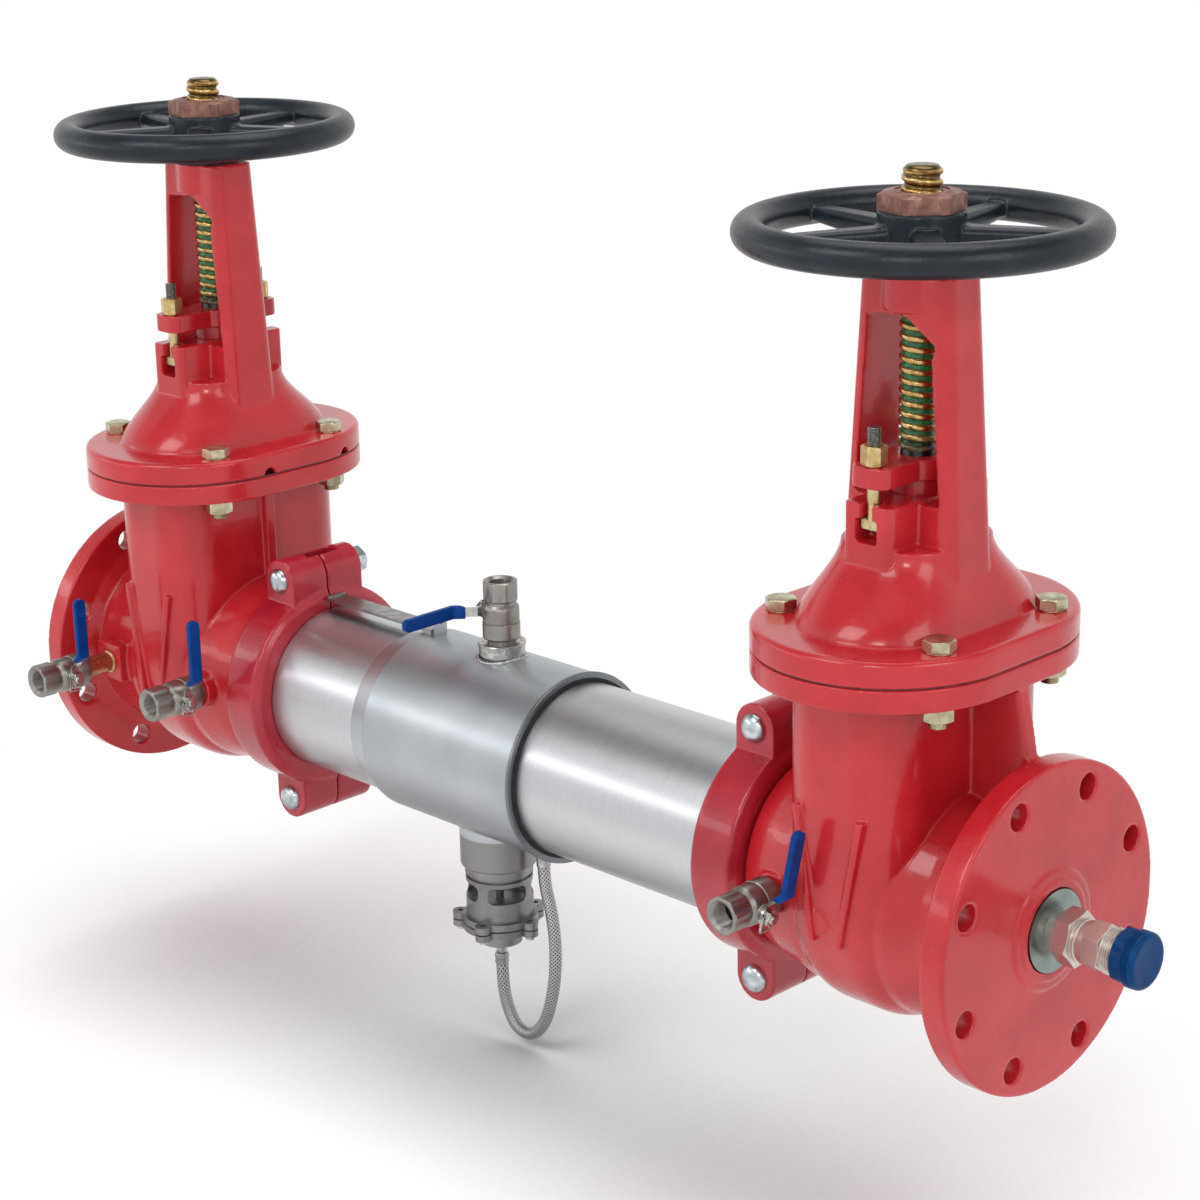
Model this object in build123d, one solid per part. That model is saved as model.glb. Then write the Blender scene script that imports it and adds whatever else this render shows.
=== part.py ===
from build123d import *
import math
import os

os.makedirs("parts", exist_ok=True)

# Overall layout in millimetres: origin at the centre of the inlet flange face, +X along the flow, +Z up
overall_length = 1218.0
stem_to_flange = 145.5
stem_to_groove_end = 137.0
pipe_gap = 3.0

# Clearances
fit_gap = 0.3
running_fit = 0.05

# Pipe and end flanges
pipe_od = 168.3
bore_r = 77.0
flange_od = 286.0
flange_thickness = 24.0
bolt_circle = 241.3
flange_holes = 8
flange_hole_r = 11.1
groove_from_end = 15.9
groove_width = 9.5
groove_depth = 2.2

# Gate valve body casting
chamber_half_x = 64.0
chamber_half_y = 110.0
chamber_corner = 46.0
chamber_wall = 12.0
neck_r = 103.0
neck_waist_r = 97.0
bonnet_joint_z = 221.0
seat_flange_thickness = 20.0
bonnet_flange_thickness = 22.0
bonnet_flange_x = 226.0
bonnet_flange_y = 300.0
bonnet_bolt_x = 83.0
bonnet_bolt_y = 74.0
bonnet_bolt_r = 8.0
bonnet_gasket = 1.5
web_thickness = 14.0
cock_boss_r = 19.0
cock_offsets = (78.0, 71.0)
cock_reaches = (112.0, 108.0, 101.0)
seat_ring_r = 91.0
seat_ring_width = 3.0
seat_lip = 1.0

# Wedge gate
wedge_r = 86.0
wedge_half = 24.0
wedge_slope = math.tan(math.radians(4))
wedge_ear = 9.0

# Bonnet, yoke and stem
dome_foot = (76.0, 116.0)
dome_head = (50.0, 60.0)
dome_head_corner = 36.0
dome_top_z = 310.0
dome_sections = 7
spot_face_r = 14.5
pry_notch_r = 7.0
box_top_z = 347.0
box_half_x = 24.0
box_half_y = 66.0
yoke_foot_z = 262.0
yoke_top_z = 528.0
yoke_foot_x, yoke_foot_y = 60.0, 30.0
yoke_head_x, yoke_head_y = 46.0, 25.0
window_rise = -3.0
window_high_z = 493.0
window_foot_x = 43.0
window_head_x = 35.0
stem_r = 16.5
stem_plain_r = 14.5
stem_top_z = 611.5
thread_above_gland = 19.0
packing_r = 23.0
packing_length = 36.0
packing_drop = 9.0

# Gland follower and its bolts
gland_rise = 14.0
gland_thickness = 17.0
gland_half_x = 18.0
gland_bolt_y = 56.0
gland_bolt_r = 5.5
gland_head_drop = 22.0
gland_head_height = 9.0
gland_nut_flats = 19.0
gland_nut_height = 17.0

# Handwheel and yoke nut
wheel_r = 152.0
rim_r = 14.0
wheel_z = 560.0
hub_r = 37.0
hub_low_z = 536.0
hub_high_z = 576.0
spokes = 5
spoke_width = 22.0
spoke_height = 14.0
yoke_nut_r = 23.0
yoke_nut_collar_r = 27.0
yoke_nut_collar = 8.0
yoke_boss_r = 32.0
drive_r = 21.5
drive_key = 8.0
drive_key_reach = 25.0
wheel_nut_flats = 66.0
wheel_nut_height = 15.0

# Grooved couplings
coupling_width = 52.0
coupling_r = 106.0
coupling_wall = 9.0
key_gap = 0.3
pad_z = 118.0
pad_r = 22.0
pad_depth = 46.0
pad_split = 1.5
coupling_bolt_r = 8.0

# Stainless check housing
tube_wall = 3.4
middle_r = 91.5
cone_start, cone_end = 434.0, 460.0
middle_end = 669.0
lip_width = 4.0
lip_height = 2.2
lip_rounding = 1.2

# Check modules: ring seat, spider, disc and spring
check_x = (392.0, 720.0)
seat_thickness = 18.0
seat_bore_r = 56.0
check_disc_r = 64.0
check_disc_thickness = 12.0
guide_r = 7.0
spider_length = 92.0
spider_plate = 8.0

# Relief valve under the housing
relief_x = 552.0
collar_r = 38.0
collar_low_z = -128.0
collar_rounding = 2.5
cage_r = 33.5
cage_wall = 4.5
cage_ring = 9.0
cage_groove = 3.5
cage_low_z = -182.0
cage_windows = 4
cage_window_width = 39.0
cage_turn = -28.4
window_low, window_high = -162.0, -145.0
relief_flange_r = 37.5
relief_flange_thickness = 7.0
cover_low_z = -197.0
relief_hub_r = 21.0
relief_hub_low_z = -213.0
relief_lugs_count = 5
relief_lug_turn = 3.3
relief_lug_r = 8.0
relief_lug_pitch_r = 40.0
relief_screw_r = 2.5
relief_seat_z = -118.0
relief_disc_r = 20.0
relief_guide_z = -171.0
diaphragm_thickness = 1.5
diaphragm_plate_r = 16.0
relief_travel = 7.0

# Test cocks: quarter-turn ball valves
cock_hex = 27.0
cock_body_r = 15.5
cock_length = 62.0
cock_ball_z = 28.0
cock_bore_r = 6.5
cock_ball_r = 9.5
cock_thread_r = 10.4
cock_thread = 12.0
cock_nipple = 30.0
cock_lean = 12.0
top_cock_x = 566.5
lever_x = 20.0
lever_joggle = 17.0
lever_bend_y = 12.0
lever_length = 89.0
lever_thickness = 2.4
lever_width = 9.0
grip_width = 13.0
grip_wall = 2.0
grip_start = 21.0

# Retaining strap and sensing hose
strap_width = 22.0
strap_thickness = 3.0
strap_start_x, strap_end_x = 312.0, 472.0
strap_y = 3.0
strap_z = 94.0
strap_upturn = 5.0
tab_top_z = 111.0
hose_r = 6.25

# Outlet fitting
plug_disc_r = 35.8
plug_disc_proud = 5.0
outlet_hub_r = 52.0
outlet_step_r = 43.0
first_hex_flats = 43.0
second_hex_flats = 38.0
nipple_r = 20.0
cap_r = 24.5

# Worked out from the sizes above
pipe_r = pipe_od / 2
tube_bore_r = pipe_r - tube_wall
stem_x = (stem_to_flange, overall_length - stem_to_flange)
coupling_x = (stem_to_flange + stem_to_groove_end + pipe_gap / 2,
              overall_length - stem_to_flange - stem_to_groove_end - pipe_gap / 2)
housing_start = coupling_x[0] + pipe_gap / 2
housing_end = coupling_x[1] - pipe_gap / 2
bonnet_base_z = bonnet_joint_z + bonnet_gasket
plate_top_z = bonnet_base_z + bonnet_flange_thickness
outlet_port_r = plug_disc_r + fit_gap
seat_step = wedge_half + fit_gap + wedge_slope * bore_r + seat_ring_width
window_low_z = box_top_z + window_rise
packing_high_z = box_top_z - packing_drop
packing_low_z = packing_high_z - packing_length
gland_z = box_top_z + gland_rise
gland_head_z = box_top_z - gland_head_drop
thread_low_z = gland_z + thread_above_gland
cage_top_z = collar_low_z - cage_ring - cage_groove
relief_plate_z = cage_low_z - relief_flange_thickness - 3
valve_names = ("inlet", "outlet")
plug_x = overall_length + plug_disc_proud
nodes = {}


def turned(points, axis=Axis.X):
    """Solid of revolution about X from an outline of (x, radius) points."""
    outline = Plane.XZ * make_face(Polyline(*points, close=True))
    return revolve(outline, axis)


def ring_x(x0, x1, outer, inner):
    return turned([(x0, inner), (x1, inner), (x1, outer), (x0, outer)])


def rod_x(x0, x1, radius):
    return Pos((x0 + x1) / 2, 0, 0) * Rot(0, 90, 0) * Cylinder(radius, x1 - x0)


def rod_y(y0, y1, radius, x=0.0, z=0.0):
    return Pos(x, (y0 + y1) / 2, z) * Rot(90, 0, 0) * Cylinder(radius, y1 - y0)


def rod_z(z0, z1, radius, x=0.0, y=0.0):
    return Pos(x, y, (z0 + z1) / 2) * Cylinder(radius, z1 - z0)


def ring_z(z0, z1, outer, inner, x=0.0, y=0.0):
    return rod_z(z0, z1, outer, x, y) - rod_z(z0 - 1, z1 + 1, inner, x, y)


def hex_z(flats, z0, z1, x=0.0, y=0.0, turn=0.0):
    six = RegularPolygon(flats / 2, 6, major_radius=False, rotation=turn)
    return Pos(x, y, z0) * extrude(six, z1 - z0)


def block(x0, x1, y0, y1, z0, z1):
    return Pos((x0 + x1) / 2, (y0 + y1) / 2, (z0 + z1) / 2) * Box(x1 - x0, y1 - y0, z1 - z0)


def oval(half_x, half_y, z, corner=None):
    """Rounded rectangle in plan; with no corner given its ends are full rounds."""
    r = min(half_x, half_y) - 0.01 if corner is None else corner
    return Pos(0, 0, z) * RectangleRounded(2 * half_x, 2 * half_y, r)


def at_valve(solid, valve, turn):
    """Moves a piece made about the stem axis to one valve; the outlet body is turned end for end."""
    turned_about = Rot(0, 0, 180) if turn and valve == 1 else Rot(0, 0, 0)
    return Pos(stem_x[valve], 0, 0) * turned_about * solid


def group(solids):
    return Compound(children=list(solids))


# Gate valve bodies
def chamber(half_x, half_y, corner, top):
    outline = Plane.YZ * (Circle(half_y) + Pos(0, top / 2) * Rectangle(2 * half_y, top))
    form = extrude(outline, half_x, both=True)
    rim = [e for e in form.edges() if abs(abs(e.center().X) - half_x) < 0.01 and e.center().Z < top - 1]
    return fillet(rim, corner)


def valve_body(cocks, outlet):
    """Body casting; cocks lists the (x, y) of each test cock boss face."""
    top = bonnet_joint_z
    flange_back = flange_thickness - stem_to_flange
    form = chamber(chamber_half_x, chamber_half_y, chamber_corner, top - 1)
    land = stem_to_groove_end - coupling_width / 2
    form += turned([(-stem_to_flange, 0), (-stem_to_flange, flange_od / 2), (flange_back, flange_od / 2),
                    (flange_back, neck_r + 9), (flange_back + 8, neck_waist_r),
                    (-chamber_half_x - 18, neck_waist_r), (-chamber_half_x + 12, neck_r),
                    (chamber_half_x - 12, neck_r), (chamber_half_x + 18, neck_waist_r), (land, pipe_r + 5),
                    (land + 5, pipe_r), (stem_to_groove_end, pipe_r), (stem_to_groove_end, 0)])
    form += extrude(oval(bonnet_flange_x / 2, bonnet_flange_y / 2, top - seat_flange_thickness),
                    seat_flange_thickness)
    web_x = bonnet_flange_x / 2
    web = make_face(Polyline((0, 0), (0, top - 5), (-web_x + 3, top - 5), (-web_x + 1, top - 22),
                             (flange_back - 2, flange_od / 2 - 3), (flange_back - 2, 0), close=True))
    form += extrude(Plane.XZ * web, web_thickness / 2, both=True)
    rib_x = chamber_half_x + 9
    rib = make_face(Polyline((0, 0), (0, top - 5), (rib_x, top - 5), (rib_x, neck_r + 8),
                             (rib_x + 13, neck_waist_r - 4), (rib_x + 13, 0), close=True))
    form += extrude(Plane.XZ * rib, web_thickness / 2 - 1, both=True)
    for side in (-1, 1):
        for lean in (-1, 1):
            foot = Pos(lean * 14, side * (chamber_half_y - 3), -20) * Rectangle(8, 20)
            head = Pos(lean * 34, side * (chamber_half_y - 3), 96) * Rectangle(8, 12)
            form += loft(Sketch() + [foot, head])
    for x, y in cocks:
        form += rod_y(min(0, y), max(0, y), cock_boss_r, x)

    inner = chamber_half_x - chamber_wall
    space = chamber(inner, chamber_half_y - chamber_wall, inner / 2, top + 1)
    low_half = wedge_half + fit_gap - wedge_slope * 120
    high_half = wedge_half + fit_gap + wedge_slope * top
    wedge_room = make_face(Polyline((-low_half, -120), (low_half, -120), (high_half, top + 2),
                                    (-high_half, top + 2), close=True))
    wedge_room = extrude(Plane.XZ * wedge_room, chamber_half_y, both=True)
    form -= space - rod_x(-inner - 1, inner + 1, seat_ring_r)
    form -= space & wedge_room
    port_r = outlet_port_r if outlet else bore_r
    form -= rod_x(-stem_to_flange + flange_thickness, -seat_step, bore_r)
    form -= rod_x(-seat_step - 1, seat_step + 1, bore_r - seat_lip)
    form -= rod_x(seat_step, stem_to_groove_end + 1, bore_r)
    form -= rod_x(-stem_to_flange - 9, -stem_to_flange + flange_thickness + 1, port_r)
    if outlet:
        for r, h in ((outlet_hub_r, 2.5), (outlet_step_r, 4.0)):
            form += ring_x(-stem_to_flange - h, -stem_to_flange + 1, r, port_r)
    groove_x = stem_to_groove_end - groove_from_end
    form -= ring_x(groove_x - groove_width, groove_x, pipe_r + 10, pipe_r - groove_depth)
    for k in range(flange_holes):
        a = math.radians(360 / flange_holes * (k + 0.5))
        hole = rod_x(-stem_to_flange - 5, flange_back + 1, flange_hole_r)
        form -= Pos(0, bolt_circle / 2 * math.sin(a), bolt_circle / 2 * math.cos(a)) * hole
    for x in (-bonnet_bolt_x, bonnet_bolt_x):
        for y in (-bonnet_bolt_y, bonnet_bolt_y):
            form -= rod_z(top - 40, top + 5, bonnet_bolt_r + 0.8, x, y)
    for x, y in cocks:
        form -= rod_y(min(0, 2 * y), max(0, 2 * y), cock_bore_r, x)
        depth = math.copysign(cock_thread + fit_gap, y)
        form -= rod_y(min(y - depth, 2 * y), max(y - depth, 2 * y), cock_thread_r + fit_gap, x)
        form -= rod_y(min(y, 2 * y), max(y, 2 * y), cock_boss_r, x)
    return form


# Bonnets with integral yoke
def dome_oval(t):
    """Section of the bell between the flange, at 0, and the stuffing box, at 1."""
    fall = t * t * (3 - 2 * t)
    half_x, half_y = (a - (a - b) * fall for a, b in zip(dome_foot, dome_head))
    foot_corner = min(dome_foot) - 0.01
    foot_z = plate_top_z - 6
    corner = foot_corner - (foot_corner - dome_head_corner) * fall
    return oval(half_x, half_y, foot_z + (dome_top_z - foot_z) * t, corner)


def bonnet(notched):
    """Cover, stuffing box and yoke in one; the notches under its flange take a pry bar."""
    base = extrude(oval(bonnet_flange_x / 2, bonnet_flange_y / 2, bonnet_base_z), bonnet_flange_thickness)
    rim = base.edges().filter_by(lambda e: abs(e.center().Z - plate_top_z) < 0.1)
    base = fillet(rim, 5)
    dome = loft(Sketch() + [dome_oval(k / (dome_sections - 1)) for k in range(dome_sections)])
    box = extrude(oval(box_half_x, box_half_y, plate_top_z + 10, 6), box_top_z - plate_top_z - 10)
    column = loft(Sketch() + [oval(yoke_foot_x, yoke_foot_y, yoke_foot_z, 12),
                              oval(yoke_head_x, yoke_head_y, yoke_top_z - 4, 12)])
    cap = extrude(oval(yoke_head_x, yoke_head_y, yoke_top_z - 4.5, 12), 4.5)
    form = base + dome + column + cap
    window = Polyline((-window_foot_x, window_low_z), (window_foot_x, window_low_z),
                      (window_head_x - 3, window_high_z - 30), (window_head_x + 1, window_high_z - 20),
                      (4, window_high_z + 2), (-window_head_x, window_high_z), close=True)
    window = make_face(window)
    form -= extrude(Plane.XZ * window, 60, both=True)
    form += box + rod_z(window_high_z + 5, yoke_top_z, yoke_boss_r)
    inner = chamber_half_x - chamber_wall
    form -= loft(Sketch() + [oval(inner, chamber_half_y - chamber_wall, bonnet_base_z - 1, 40),
                             oval(inner - 2, 74, plate_top_z + 8, 40), oval(38, 46, dome_top_z - 26, 34)])
    form -= rod_z(dome_top_z - 40, box_top_z + 5, packing_r + fit_gap)
    form += ring_z(dome_top_z - 26, packing_low_z - fit_gap, packing_r + 4, stem_plain_r + 0.4)
    for side in (-1, 1):
        y = side * gland_bolt_y
        near, far = sorted((y - side * 6.2, y + side * 30))
        form -= block(-6.2, 6.2, near, far, gland_head_z - 10, box_top_z + 5)
        near, far = sorted((y - side * 9, y + side * 30))
        form -= block(-11, 11, near, far, gland_head_z - 10, gland_head_z + gland_head_height + fit_gap)
    form -= rod_z(window_high_z - 20, yoke_top_z + 5, yoke_nut_r + running_fit)
    form -= rod_z(yoke_top_z - yoke_nut_collar - 2 * fit_gap, yoke_top_z + 5, yoke_nut_collar_r + fit_gap)
    for x in (-bonnet_bolt_x, bonnet_bolt_x):
        for y in (-bonnet_bolt_y, bonnet_bolt_y):
            form -= rod_z(bonnet_base_z - 5, plate_top_z + 5, bonnet_bolt_r + 0.8, x, y)
            form -= rod_z(plate_top_z, plate_top_z + 18, spot_face_r, x, y)
    if notched:
        for x, y, turn in ((bonnet_flange_x / 2, -29, 0), (bonnet_flange_x / 2 - 7, 76, 20)):
            notch = Rot(0, 0, turn) * Rot(0, 90, 0) * Cylinder(pry_notch_r, 24)
            form -= Pos(x, y, bonnet_base_z) * notch
    return form


def bonnet_gasket_ring():
    plate = extrude(oval(bonnet_flange_x / 2 - 2, bonnet_flange_y / 2 - 2, bonnet_joint_z), bonnet_gasket)
    inner = chamber_half_x - chamber_wall
    plate -= extrude(oval(inner, chamber_half_y - chamber_wall, bonnet_joint_z - 1, 40), bonnet_gasket + 2)
    for x in (-bonnet_bolt_x, bonnet_bolt_x):
        for y in (-bonnet_bolt_y, bonnet_bolt_y):
            plate -= rod_z(bonnet_joint_z - 1, bonnet_base_z + 1, bonnet_bolt_r + 0.8, x, y)
    return plate


def bonnet_bolts():
    under = bonnet_joint_z - seat_flange_thickness
    for x in (-bonnet_bolt_x, bonnet_bolt_x):
        for y in (-bonnet_bolt_y, bonnet_bolt_y):
            head = hex_z(24, plate_top_z, plate_top_z + 11, x, y, 20)
            yield head + rod_z(under - 20, plate_top_z, bonnet_bolt_r, x, y)


def bonnet_nuts():
    under = bonnet_joint_z - seat_flange_thickness
    for x in (-bonnet_bolt_x, bonnet_bolt_x):
        for y in (-bonnet_bolt_y, bonnet_bolt_y):
            nut = hex_z(24, under - 14, under, x, y, 5)
            yield nut - rod_z(under - 20, under + 5, bonnet_bolt_r + running_fit, x, y)


def gland_follower():
    bar = extrude(oval(gland_half_x, gland_bolt_y + 12, gland_z, 11), gland_thickness)
    bar += extrude(oval(28, 28, gland_z, 27.9), gland_thickness)
    bar += rod_z(packing_high_z + fit_gap, gland_z + 1, packing_r)
    bar -= rod_z(packing_high_z - 5, gland_z + 40, stem_plain_r + running_fit)
    for y in (-gland_bolt_y, gland_bolt_y):
        bar -= rod_z(gland_z - 5, gland_z + 40, gland_bolt_r + 0.6, 0, y)
    return bar


def gland_bolts():
    for y in (-gland_bolt_y, gland_bolt_y):
        head = block(-9.5, 9.5, y - 5, y + 5, gland_head_z, gland_head_z + gland_head_height)
        tip = gland_z + gland_thickness + gland_nut_height + 15
        yield head + rod_z(gland_head_z, tip, gland_bolt_r, 0, y)


def gland_nuts():
    low = gland_z + gland_thickness
    for y in (-gland_bolt_y, gland_bolt_y):
        nut = hex_z(gland_nut_flats, low, low + gland_nut_height, 0, y, 10)
        yield nut - rod_z(low - 5, low + 40, gland_bolt_r + running_fit, 0, y)


# Stem, wedge, yoke nut and handwheel
def stem():
    form = rod_z(thread_low_z, stem_top_z - 2, stem_r) + rod_z(stem_top_z - 2, stem_top_z, stem_r - 2)
    form += rod_z(wedge_r + 6, thread_low_z, stem_plain_r)
    form += rod_z(wedge_r - 6, wedge_r + 6, stem_plain_r + 5)
    return form


def wedge():
    low, high = wedge_half - wedge_slope * 120, wedge_half + wedge_slope * 120
    taper = make_face(Polyline((-low, -120), (low, -120), (high, 120), (-high, 120), close=True))
    form = rod_x(-60, 60, wedge_r) & extrude(Plane.XZ * taper, 120, both=True)
    guide = wedge_r + wedge_ear
    form += block(-9, 9, -guide, guide, -20, 40)
    form += block(-26, 26, -30, 30, wedge_r - 16, wedge_r + 22)
    form -= rod_z(wedge_r - 30, wedge_r + 40, stem_plain_r + fit_gap)
    slot_r = stem_plain_r + 5 + fit_gap
    form -= block(-slot_r, 60, -slot_r, slot_r, wedge_r - 6 - fit_gap, wedge_r + 6 + fit_gap)
    form -= block(0, 60, -stem_plain_r - fit_gap, stem_plain_r + fit_gap, wedge_r - 6, wedge_r + 40)
    return form


def yoke_nut():
    form = rod_z(window_high_z + 6, hub_low_z, yoke_nut_r)
    form += rod_z(yoke_top_z - yoke_nut_collar - fit_gap, yoke_top_z - fit_gap, yoke_nut_collar_r)
    form += rod_z(hub_low_z, hub_high_z + wheel_nut_height, drive_r)
    form += block(0, drive_key_reach, -drive_key / 2, drive_key / 2, hub_low_z, hub_high_z)
    return form - rod_z(window_high_z, stem_top_z, stem_r + running_fit)


def yoke_cap():
    return ring_z(yoke_top_z, hub_low_z - fit_gap, yoke_nut_collar_r + 6, yoke_nut_r + running_fit)


def handwheel():
    rim = Pos(0, 0, wheel_z) * Torus(wheel_r - rim_r, rim_r)
    hub = loft(Sketch() + [Pos(0, 0, hub_low_z) * Circle(hub_r + 1.5),
                           Pos(0, 0, hub_high_z) * Circle(hub_r - 1.5)])
    form = rim + hub
    reach = wheel_r - rim_r
    for k in range(spokes):
        root = Plane(origin=(hub_r - 8, 0, hub_low_z + 18), x_dir=(0, 1, 0), z_dir=(1, 0, 0))
        tip = Plane(origin=(reach, 0, wheel_z - 2), x_dir=(0, 1, 0), z_dir=(1, 0, 0))
        arm = loft(Sketch() + [root * RectangleRounded(spoke_width + 4, spoke_height + 8, 6),
                               tip * RectangleRounded(spoke_width - 4, spoke_height - 2, 5)])
        form += Rot(0, 0, -45 + 360 / spokes * k) * arm
    form -= rod_z(hub_low_z - 5, hub_high_z + 5, drive_r + running_fit)
    key = drive_key / 2 + running_fit
    return form - block(0, drive_key_reach + running_fit, -key, key, hub_low_z - 5, hub_high_z + 5)


def wheel_nut():
    form = hex_z(wheel_nut_flats, hub_high_z, hub_high_z + wheel_nut_height, 0, 0, 15)
    form &= rod_z(hub_high_z, hub_high_z + wheel_nut_height, wheel_nut_flats / 2 * 1.1)
    return form - rod_z(hub_high_z - 5, hub_high_z + 40, drive_r + running_fit)


# Grooved couplings
def coupling_half(side):
    half = coupling_width / 2
    key_r = pipe_r - groove_depth + key_gap
    cavity_r = coupling_r - coupling_wall
    key = groove_from_end + pipe_gap / 2 + key_gap
    form = turned([(-half, key_r), (-key, key_r), (-key, cavity_r), (key, cavity_r), (key, key_r),
                   (half, key_r), (half, coupling_r - 9), (half - 5, coupling_r), (5 - half, coupling_r),
                   (-half, coupling_r - 9)])
    for z in (-pad_z, pad_z):
        pad = rod_y(-pad_depth, pad_depth, pad_r, 0, z)
        pad += block(-pad_r, pad_r, -pad_depth, pad_depth, min(z, z * 0.75), max(z, z * 0.75))
        form += pad - rod_x(-half - 1, half + 1, cavity_r + 2)
    for z in (-pad_z, pad_z):
        form -= rod_y(-pad_depth - 1, pad_depth + 1, coupling_bolt_r + 0.8, 0, z)
    form -= block(-8, 8, -14, 26, pad_z, pad_z + pad_r + 1)
    keep = block(-60, 60, -170, -pad_split / 2, -170, 170)
    return form & (keep if side < 0 else mirror(keep, about=Plane.XZ))


def coupling_gasket():
    outer = coupling_r - coupling_wall - fit_gap
    half = groove_from_end + pipe_gap / 2 - fit_gap
    return ring_x(-half, half, outer, pipe_r + fit_gap) - ring_x(4 - half, half - 4, outer - 4, pipe_r - 1)


def coupling_bolts():
    for z in (-pad_z, pad_z):
        shank = rod_y(-pad_depth, pad_depth + 20, coupling_bolt_r, 0, z)
        head = rod_y(-pad_depth - 7, -pad_depth, 11.5, 0, z)
        yield shank + fillet(head.edges().sort_by(Axis.Y)[:1], 4)


def coupling_nuts():
    for z in (-pad_z, pad_z):
        nut = extrude(RegularPolygon(12.7, 6, major_radius=False), 15)
        nut = Pos(0, pad_depth, z) * Rot(-90, 0, 0) * nut
        yield nut - rod_y(pad_depth - 5, pad_depth + 40, coupling_bolt_r + running_fit, 0, z)


# Stainless housing, outlet tube and strap
def tube_groove(end_x, inward):
    a = end_x + inward * groove_from_end
    b = a + inward * groove_width
    return ring_x(min(a, b), max(a, b), pipe_r + 5, pipe_r - groove_depth)


def check_housing():
    inner_r = middle_r - tube_wall
    form = turned([(housing_start, tube_bore_r), (housing_start, pipe_r), (cone_start, pipe_r),
                   (cone_end, middle_r), (middle_end, middle_r), (middle_end, inner_r),
                   (cone_end + 1, inner_r), (cone_start + 1, tube_bore_r)])
    form -= tube_groove(housing_start, 1)
    lip = ring_x(middle_end - lip_width, middle_end, middle_r + lip_height, middle_r - 1)
    form += fillet(lip.edges().filter_by(GeomType.CIRCLE).sort_by(lambda e: -e.radius)[:2], lip_rounding)
    collar = rod_z(collar_low_z, -middle_r + 12, collar_r, relief_x)
    collar = fillet(collar.edges().group_by(Axis.Z)[0], collar_rounding)
    collar -= rod_x(relief_x - 60, relief_x + 60, middle_r - 0.5)
    form += collar
    form -= rod_z(collar_low_z - 1, 0, collar_r - 7, relief_x)
    boss = rod_z(middle_r - 4, middle_r + 13, 20, top_cock_x)
    form += boss - rod_x(top_cock_x - 40, top_cock_x + 40, middle_r - 0.5)
    form -= rod_z(0, middle_r + 20, cock_bore_r, top_cock_x)
    form -= rod_z(middle_r + 13 - cock_thread - fit_gap, middle_r + 20, cock_thread_r + fit_gap, top_cock_x)
    form -= rod_z(-middle_r - 5, -20, 4, hose_points[-1][0], hose_points[-1][1])
    tab_end = strap_end_x + strap_thickness
    tab = block(strap_end_x, tab_end, strap_y - 8, strap_y + 8, middle_r - 3, tab_top_z)
    tab -= Pos(0, strap_y, tab_top_z - 7) * rod_x(strap_end_x - 2, strap_end_x + 8, 3.5)
    return form + (tab - rod_x(strap_end_x - 5, strap_end_x + 9, middle_r - 0.5))


def outlet_tube():
    form = ring_x(middle_end - 60, housing_end, pipe_r, tube_bore_r)
    return form - tube_groove(housing_end, -1)


def housing_seal():
    outer = middle_r - tube_wall - fit_gap / 2
    return ring_x(middle_end - 24, middle_end + 1.5, outer, pipe_r + fit_gap / 2)


def retainer_strap():
    low, high = strap_y - strap_width / 2, strap_y + strap_width / 2
    bar = block(strap_start_x, strap_end_x - fit_gap, low, high, strap_z, strap_z + strap_thickness)
    bar += block(strap_start_x, strap_start_x + strap_thickness, low, high, strap_z, strap_z + strap_upturn)
    foot = block(strap_end_x - 11, strap_end_x - fit_gap, low, high, middle_r - 2, strap_z + 1)
    return bar + (foot - rod_x(strap_start_x, strap_end_x + 1, middle_r + fit_gap / 4))


# Check modules inside the housing
def check_cage(x0):
    form = ring_x(x0, x0 + seat_thickness, tube_bore_r - fit_gap, seat_bore_r)
    hub_x = x0 + spider_length
    form += rod_x(hub_x, hub_x + spider_plate, 18)
    for k in range(3):
        leg = block(x0 + seat_thickness - 1, hub_x + spider_plate, -5, 5, seat_bore_r + 14, seat_bore_r + 22)
        spoke = block(hub_x, hub_x + spider_plate, -5, 5, 12, seat_bore_r + 22)
        form += Rot(120 * k, 0, 0) * (leg + spoke)
    return form - rod_x(hub_x - 5, hub_x + spider_plate + 5, guide_r + running_fit)


def check_disc(x0):
    face = x0 + seat_thickness + fit_gap
    form = rod_x(face, face + check_disc_thickness, check_disc_r)
    return form + rod_x(face, x0 + spider_length + spider_plate + 6, guide_r)


def coil(radius, wire_r, length, turns):
    """Helical spring along +Z with its lower end at the origin."""
    path = Helix(pitch=(length - 2 * wire_r) / turns, height=length - 2 * wire_r, radius=radius)
    section = Plane(origin=path @ 0, z_dir=path % 0) * RegularPolygon(wire_r, 6)
    return Pos(0, 0, wire_r) * sweep(section, path=path, is_frenet=True)


def check_spring(x0):
    start = x0 + seat_thickness + fit_gap + check_disc_thickness + fit_gap
    length = x0 + spider_length - fit_gap - start
    return Pos(start, 0, 0) * Rot(0, 90, 0) * coil(24, 2.5, length, 5)


# Relief valve
def relief_ring(z0, z1, hole_z):
    """Lugged round plate with its screw holes cut from hole_z upwards."""
    plate = rod_z(z0, z1, relief_flange_r)
    for x, y in relief_lugs():
        plate += rod_z(z0, z1, relief_lug_r, x, y)
    for x, y in relief_lugs():
        plate -= rod_z(hole_z, z1 + 1, relief_screw_r + fit_gap, x, y)
    return plate


def relief_lugs():
    for k in range(relief_lugs_count):
        a = math.radians(360 / relief_lugs_count * k + relief_lug_turn)
        yield relief_lug_pitch_r * math.cos(a), relief_lug_pitch_r * math.sin(a)


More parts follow.
